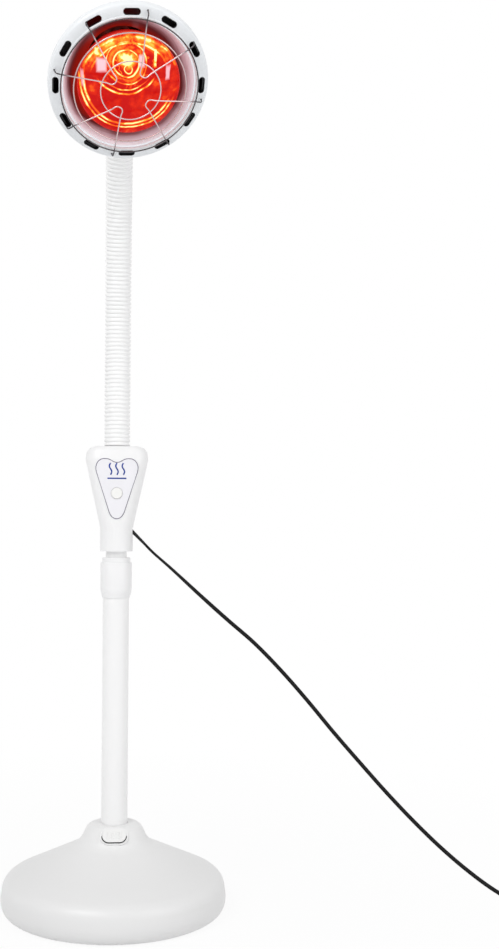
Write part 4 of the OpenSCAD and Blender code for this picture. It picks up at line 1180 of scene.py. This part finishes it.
class LAMP_OT_head(bpy.types.Operator):
    """Finishes the bell housing, its rear cap, the slotted ring and the bowl"""

    bl_idname = "lamp.head"
    bl_label = "Head"

    def execute(self, context):
        stand = context.scene.lamp_stand
        sizes = context.scene.lamp_head
        white = self.shell(tuple(stand.body_colour))
        grey = self.ring_finish(tuple(sizes.ring_colour))
        pieces = (
            ("lamp_housing", "bell_housing", white, "body_plastic", 30),
            ("rear_cap", "bell_cap", white, "body_plastic", 30),
            ("front_ring", "mouth_ring", grey, "ring_plastic", 35),
            ("reflector", "bowl", self.bowl(), "reflector_metal", 30),
        )
        for node, name, material, slot, angle in pieces:
            finish_copy(node, name, "head", material, slot, angle)
        dress_nodes(self.ceramic(), "lampholder")
        # The bracket's dark red is the bulb's red light, painted.
        dress_nodes(moulded_plastic("bracket_painted_red_light", (0.10, 0.008, 0.006), 0.5), "holder_bracket")
        dress_nodes(bpy.data.materials["zinc_plate"], "housing_screws")
        dress_nodes(plated_metal("brass", (0.75, 0.6, 0.32), 0.25), "swivel_nut")
        return {"FINISHED"}

    def shell(self, colour):
        """White outside, with painted shade inside, where the vents and slots look in, and on the forward-facing flange
        behind the ring.
        """
        finish = Finish("housing_plastic_painted_shade", colour, 0.34)
        # Inward faces and the forward-facing flange get painted shade instead of the white.
        ahead = finish.grade(finish.ahead(), 1.0, 0.0, 0.7, 0.9)
        out = finish.times(finish.facing_out(finish.lamp_coords()), ahead)
        finish.feed("Base Color", finish.blend(out, PAINTED_SHADE, colour))
        finish.gloss(180.0, 0.32, 0.39)
        finish.orange_peel()
        return finish.material

    def ring_finish(self, colour):
        """Pale grey plastic with painted shade on the walls of its slots and on its back."""
        finish = Finish("ring_plastic", colour, 0.28)
        out = finish.off_axis(finish.lamp_coords())
        lit = finish.brightest(
            finish.grade(finish.ahead(), 0.0, 1.0, 0.1, 0.3),
            finish.grade(out, 0.0, 1.0, *OUTER_LIP),
            finish.grade(out, 1.0, 0.0, *INNER_LIP),
        )
        # Slot walls and the ring's back get a dark painted shade; the lips and front faces keep the colour.
        finish.feed("Base Color", finish.blend(lit, (0.05, 0.045, 0.05), colour))
        finish.gloss(60.0, 0.24, 0.34, 4.0)
        return finish.material

    def bowl(self):
        """Polished aluminium with painted reflections, pink near the mouth and dark red further in, a painted glow of
        the same colour, and painted shade on its back.
        """
        finish = Finish("bowl_metal_painted_reflection", (0.60, 0.48, 0.53), 0.35)
        face = finish.lamp_coords()
        wave = finish.maths("MULTIPLY_ADD", finish.noise(30.0, coords=face), -0.010, 0.005)
        depth = finish.maths("SUBTRACT", wave, finish.part(face, "Z"))
        reach = finish.grade(finish.part(face, "Y"), 0.0205, 0.046, -0.020, 0.055)
        stretched = finish.vector("MULTIPLY", face, (14, 14, 260))
        streaks = finish.maths("MULTIPLY_ADD", finish.noise(1.0, coords=stretched), 0.3, -0.15)
        inward = finish.maths("ADD", finish.maths("DIVIDE", depth, reach), streaks)
        stain_and_reflection = finish.ramp(finish.times(inward, 0.5), *BOWL_PAINTED_REFLECTION)
        within = finish.grade(finish.off_axis(face), 1.0, 0.0, *BOWL_MOUTH)
        inside = finish.times(finish.grade(finish.ahead(), 0.0, 1.0, -0.05, 0.02), within)
        # Faces that face back or lie beyond the mouth get painted shade.
        colour = finish.blend(inside, PAINTED_SHADE, stain_and_reflection)
        finish.feed("Base Color", colour)
        # The painted reflection is also given as emission, a painted glow.
        finish.feed("Emission Color", colour)
        finish.gloss(90.0, 0.28, 0.42)
        finish.set(Specular_IOR_Level=0.3, Emission_Strength=0.3)
        return finish.material

    def ceramic(self):
        """Glazed ceramic with the bulb's red light painted into its colour."""
        finish = Finish("holder_ceramic", (0.36, 0.03, 0.02), 0.4)
        # Its red tones are painted light of the bulb.
        finish.mottle(120.0, 5.0, (0.3, (0.22, 0.012, 0.008)), (0.6, (0.40, 0.03, 0.018)))
        return finish.material


# Radius, and height over the ring's widest circle, of the guard's rim and of its petals' tips
GUARD_RIM = (0.0803, 0.0121)
GUARD_TIP = (0.022, 0.0225)
# Radii of the two hoops between
GUARD_HOOPS = (0.0655, 0.035)
PETALS = 4
# Where half a petal starts at the flange, half the angle it spans there and its turn about the axis
PETAL_FOOT = (0.082285, 0.03258)
PETAL_HALF = math.radians(21.6)
PETAL_TURN = math.radians(55.3)
HOOP_GAP = 0.0001
# The wire's painted reflection from over the mouth to the flange, each (place, colour), and those radii
WIRE_PAINTED_REFLECTION = ((0.0, (0.70, 0.55, 0.55)), (0.6, (0.50, 0.40, 0.41)), (0.95, (0.10, 0.09, 0.095)))
WIRE_REFLECTION_REACH = (0.060, 0.080)


def petal_height(radius):
    """Height of a petal over the lamp's face at a radius: it rises evenly to the guard's middle."""
    way = (GUARD_RIM[0] - max(radius, GUARD_TIP[0])) / (GUARD_RIM[0] - GUARD_TIP[0])
    return GUARD_RIM[1] + (GUARD_TIP[1] - GUARD_RIM[1]) * way


def petal_line():
    """Half a petal, from inside the flange to the middle of its tip."""
    x, y = PETAL_FOOT
    leg = (GUARD_RIM[0] * math.cos(PETAL_HALF), GUARD_RIM[0] * math.sin(PETAL_HALF))
    tip, top = GUARD_TIP
    shoulder = (tip + 0.008, 0.0065)
    rim = GUARD_RIM[1]
    rise = curve_points((x, y, 0.003), (x, y, rim - 0.0009), (x - 0.003, y - 0.0012, rim - 0.0005), 4)
    lean = [(leg[0] + 0.001, leg[1] + 0.0004, rim), (*leg, rim)]
    turn = curve_points(
        (*shoulder, petal_height(math.hypot(*shoulder))), (tip - 0.0005, 0.0055, top), (tip, 0.0, top), 5)
    return [(x, y, -0.001)] + rise + lean + turn


class LAMP_OT_guard(bpy.types.Operator):
    """Bends the guard's rings and petals from polished wire"""

    bl_idname = "lamp.guard"
    bl_label = "Wire guard"

    def execute(self, context):
        sizes = context.scene.lamp_head
        painted_reflection_chrome = self.painted_reflection_chrome()
        under = 2 * sizes.wire + HOOP_GAP
        hoops = zip(("guard_rim", "guard_middle", "guard_inner"), (GUARD_RIM[0], *GUARD_HOOPS))
        wires = [self.hoop(name, r, petal_height(r) - under, sizes.wire) for name, r in hoops]
        for k in range(PETALS):
            petal = self.petal(f"guard_petal_{k + 1}", sizes.wire)
            petal.matrix_world = Matrix.Rotation(PETAL_TURN + math.tau * k / PETALS, 4, "Z")
            wires.append(petal)
        for wire in wires:
            settle(wire, HEAD, 60)
            fit(wire, "head", painted_reflection_chrome, slot="guard_wire")
        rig.replaces(wires[0], "wire_guard")
        return {"FINISHED"}

    def painted_reflection_chrome(self):
        """Bright wire with a painted reflection of the warm bowl over the mouth and of the dark room at the flange."""
        finish = Finish("guard_chrome_painted_reflection", (0.62, 0.52, 0.52), 0.2, 1.0)
        out = finish.off_axis(finish.lamp_coords())
        # Colour graded by radius is a painted reflection, warm over the mouth and dark at the flange.
        finish.feed("Base Color", finish.ramp(finish.grade(out, 0.0, 1.0, *WIRE_REFLECTION_REACH), *WIRE_PAINTED_REFLECTION))
        finish.gloss(220.0, 0.15, 0.3, 4.0)
        return finish.material

    def hoop(self, name, radius, height, wire):
        clear_selection()
        bpy.ops.curve.primitive_bezier_circle_add(radius=radius, location=(0, 0, height))
        return self.draw_wire(name, wire, 32)

    def petal(self, name, wire):
        """One bent wire: in from the flange, round the tip and back out."""
        clear_selection()
        bpy.ops.curve.primitive_nurbs_path_add(location=(0, 0, 0))
        curve = bpy.context.object.data
        curve.splines.clear()
        half = petal_line()
        path = half + [(x, -y, z) for x, y, z in reversed(half[:-1])]
        spline = curve.splines.new("NURBS")
        spline.points.add(len(path) - 1)
        for point, place in zip(spline.points, path):
            point.co = (*place, 1)
        spline.order_u = 3
        spline.use_endpoint_u = True
        return self.draw_wire(name, wire, 4)

    def draw_wire(self, name, wire, steps):
        piece = name_piece(name)
        piece.data.bevel_depth = wire
        piece.data.bevel_resolution = 3
        piece.data.resolution_u = steps
        piece.data.use_fill_caps = True
        bpy.ops.object.convert(target="MESH")
        return name_piece(name)


# Colours of the lit glass after its stain as the painted glow and painted reflections grow, each (place, colour)
GLOW = (
    (0.22, (0.62, 0.018, 0.004)), (0.5, (0.97, 0.20, 0.014)), (0.72, (1.0, 0.52, 0.06)),
    (0.93, (1.0, 0.88, 0.40)),
)
# Colour of the painted reflections of windows on the bulb's glass
WINDOW_REFLECTION = (0.86, 0.56, 0.62)


class LAMP_OT_bulb(bpy.types.Operator):
    """Blows the red bulb and gives it its lit look"""

    bl_idname = "lamp.bulb"
    bl_label = "Bulb"

    def execute(self, context):
        sizes = context.scene.lamp_head
        finish_copy("bulb_glass", "red_bulb", "head", self.stained_glass(sizes), "bulb_red", 60)
        dress_nodes(bpy.data.materials["brass"], "bulb_cap")
        glow = Finish("hot_filament", (1.0, 0.6, 0.2), 0.5)
        glow.set(Emission_Color=(1, 0.45, 0.08, 1), Emission_Strength=3.0)
        dress_nodes(glow.material, "bulb_filament")
        return {"FINISHED"}

    def stained_glass(self, sizes):
        """Deep red stained glass that glows; the lit filament is painted into the glow, its rings in the mirrored back
        are painted reflections, and pale patches are painted reflections of windows.
        """
        stain_and_reflection = tuple(sizes.bulb_colour)
        finish = Finish("bulb_stain_painted_reflections", stain_and_reflection, 0.1)
        face = finish.lamp_coords()
        x, y, z = (finish.part(face, axis) for axis in "XYZ")
        cloud = {"Vector": face, "Scale": 30.0, "Detail": 3.0}
        wobble = finish.add("ShaderNodeTexNoise", cloud).outputs["Color"]
        shift = finish.vector("MULTIPLY", finish.vector("SUBTRACT", wobble, (0.5,) * 3), (0.007,) * 3)
        moved = finish.vector("ADD", face, shift)
        flat = finish.vector("MULTIPLY", moved, (1, 1, 0))
        front = finish.grade(z, 0.0, 1.0, -0.012, 0.0)
        low = finish.grade(finish.maths("MULTIPLY_ADD", x, 0.35, y), 1.0, 0.0, -0.012, 0.012)
        under = finish.grade(y, 1.0, 0.0, 0.004, 0.014)
        high = finish.grade(y, 0.0, 1.0, 0.016, 0.036)
        streaks = finish.grade(finish.noise(75.0, 4.0, face), 0.45, 1.25, 0.40, 0.58)
        times, ring, patch = finish.times, finish.ring, finish.patch
        swirl = finish.grade(finish.noise(60.0, 6.0, moved), 0.0, 0.42, 0.50, 0.78)
        vein = finish.maths("ABSOLUTE", finish.maths("SUBTRACT", finish.noise(48.0, 3.0, moved), 0.5))
        veins = finish.grade(vein, 0.62, 0.0, 0.0, 0.028)
        veins = times(veins, ring(flat, (-0.002, 0.034), 0.016, 0.030))
        lamp, far_lamp, back = (-0.0036, 0.0345), (-0.004, 0.0290), (-0.005, 0.0303)
        # Arcs of painted reflection of the filament in the mirrored back: centre, radius, width and share of each.
        filament_reflections = (
            ((0, 0.008), 0.0534, 0.0024, low),
            ((0, 0.007), 0.0574, 0.0018, low),
            (back, 0.0377, 0.0020, under),
            (back, 0.0322, 0.0014, under),
            ((0, 0), 0.0575, 0.0036, high),
            ((0, 0.004), 0.0475, 0.0022, high),
            (far_lamp, 0.0153, 0.0018, 1.0),
            (far_lamp, 0.0238, 0.0014, 0.9),
            (far_lamp, 0.0195, 0.0050, 0.45),
            ((0, 0.006), 0.050, 0.0110, times(high, 0.62)),
            ((-0.0015, 0.0225), 0.0048, 0.0014, 0.85),
        )
        bright = finish.brightest(
            patch(flat, (0.0293, 0.034), (0.0020, 0.0125)),
            times(patch(flat, (-0.037, 0.0409), (0.006, 0.005)), 0.75),
            *(times(ring(flat, centre, radius, width), share) for centre, radius, width, share in filament_reflections),
        )
        flicker = finish.grade(finish.noise(130.0, 3.0, face), 0.6, 1.7, 0.35, 0.6)
        core = times(ring(flat, lamp, 0.0, 0.0165), flicker)
        shine = finish.brightest(times(bright, streaks), core, swirl, veins)
        glow = finish.ramp(times(shine, front), (0.0, stain_and_reflection), *GLOW)
        # Pale patches painted on the glass as reflections of windows.
        window_reflections = finish.brightest(
            patch(flat, (-0.0327, 0.0270), (0.0068, 0.0086)),
            patch(flat, (0.0145, 0.0313), (0.0038, 0.0082)),
            times(patch(flat, (0.0444, 0.0161), (0.0028, 0.0092)), 0.85),
            times(patch(flat, (-0.0543, 0.0110), (0.0020, 0.0110)), 0.7),
        )
        colour = finish.blend(times(window_reflections, 0.85), glow, WINDOW_REFLECTION)
        # The glass's colour, painted reflections included, is also its emission.
        finish.feed("Base Color", colour)
        finish.feed("Emission Color", colour)
        finish.set(Emission_Strength=0.5 * sizes.glow, IOR=1.2)
        return finish.material


# ---------------------------------------------------------------- the maker's panel

STEPS = ("stage", "lead", "foot", "post", "box", "neck", "head", "guard", "bulb")


class LAMP_PT_maker(bpy.types.Panel):
    """Lists the lamp's making steps in order"""

    bl_idname = "LAMP_PT_maker"
    bl_label = "Heat Lamp"
    bl_space_type = "VIEW_3D"
    bl_region_type = "UI"
    bl_category = "Heat Lamp"

    def draw(self, context):
        for step in STEPS:
            self.layout.operator(f"lamp.{step}")
        for sizes in (getattr(context.scene, key) for key in GROUPS):
            column = self.layout.column()
            for key in sizes.bl_rna.properties.keys():
                if key not in ("rna_type", "name"):
                    column.prop(sizes, key)


GROUPS = {
    "lamp_stage": LampStage, "lamp_lead": LampLead, "lamp_stand": LampStand, "lamp_neck": LampNeck,
    "lamp_head": LampHead,
}
CLASSES = (
    *GROUPS.values(), LAMP_OT_stage, LAMP_OT_lead, LAMP_OT_foot, LAMP_OT_post, LAMP_OT_box, LAMP_OT_neck,
    LAMP_OT_head, LAMP_OT_guard, LAMP_OT_bulb, LAMP_PT_maker,
)


def register():
    for kind in CLASSES:
        bpy.utils.register_class(kind)
    for key, group in GROUPS.items():
        setattr(bpy.types.Scene, key, PointerProperty(type=group))


def unregister():
    for key in GROUPS:
        delattr(bpy.types.Scene, key)
    for kind in reversed(CLASSES):
        bpy.utils.unregister_class(kind)


def main():
    register()
    bpy.context.scene.view_settings.view_transform = "Standard"
    for step in STEPS:
        getattr(bpy.ops.lamp, step)()
    boxes = {"cad": CAD_BOX, "visual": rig.bounds()}
    with open("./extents.json", "w") as sheet:
        json.dump({key: [list(corner) for corner in box] for key, box in boxes.items()}, sheet)


if __name__ == "__main__":
    main()
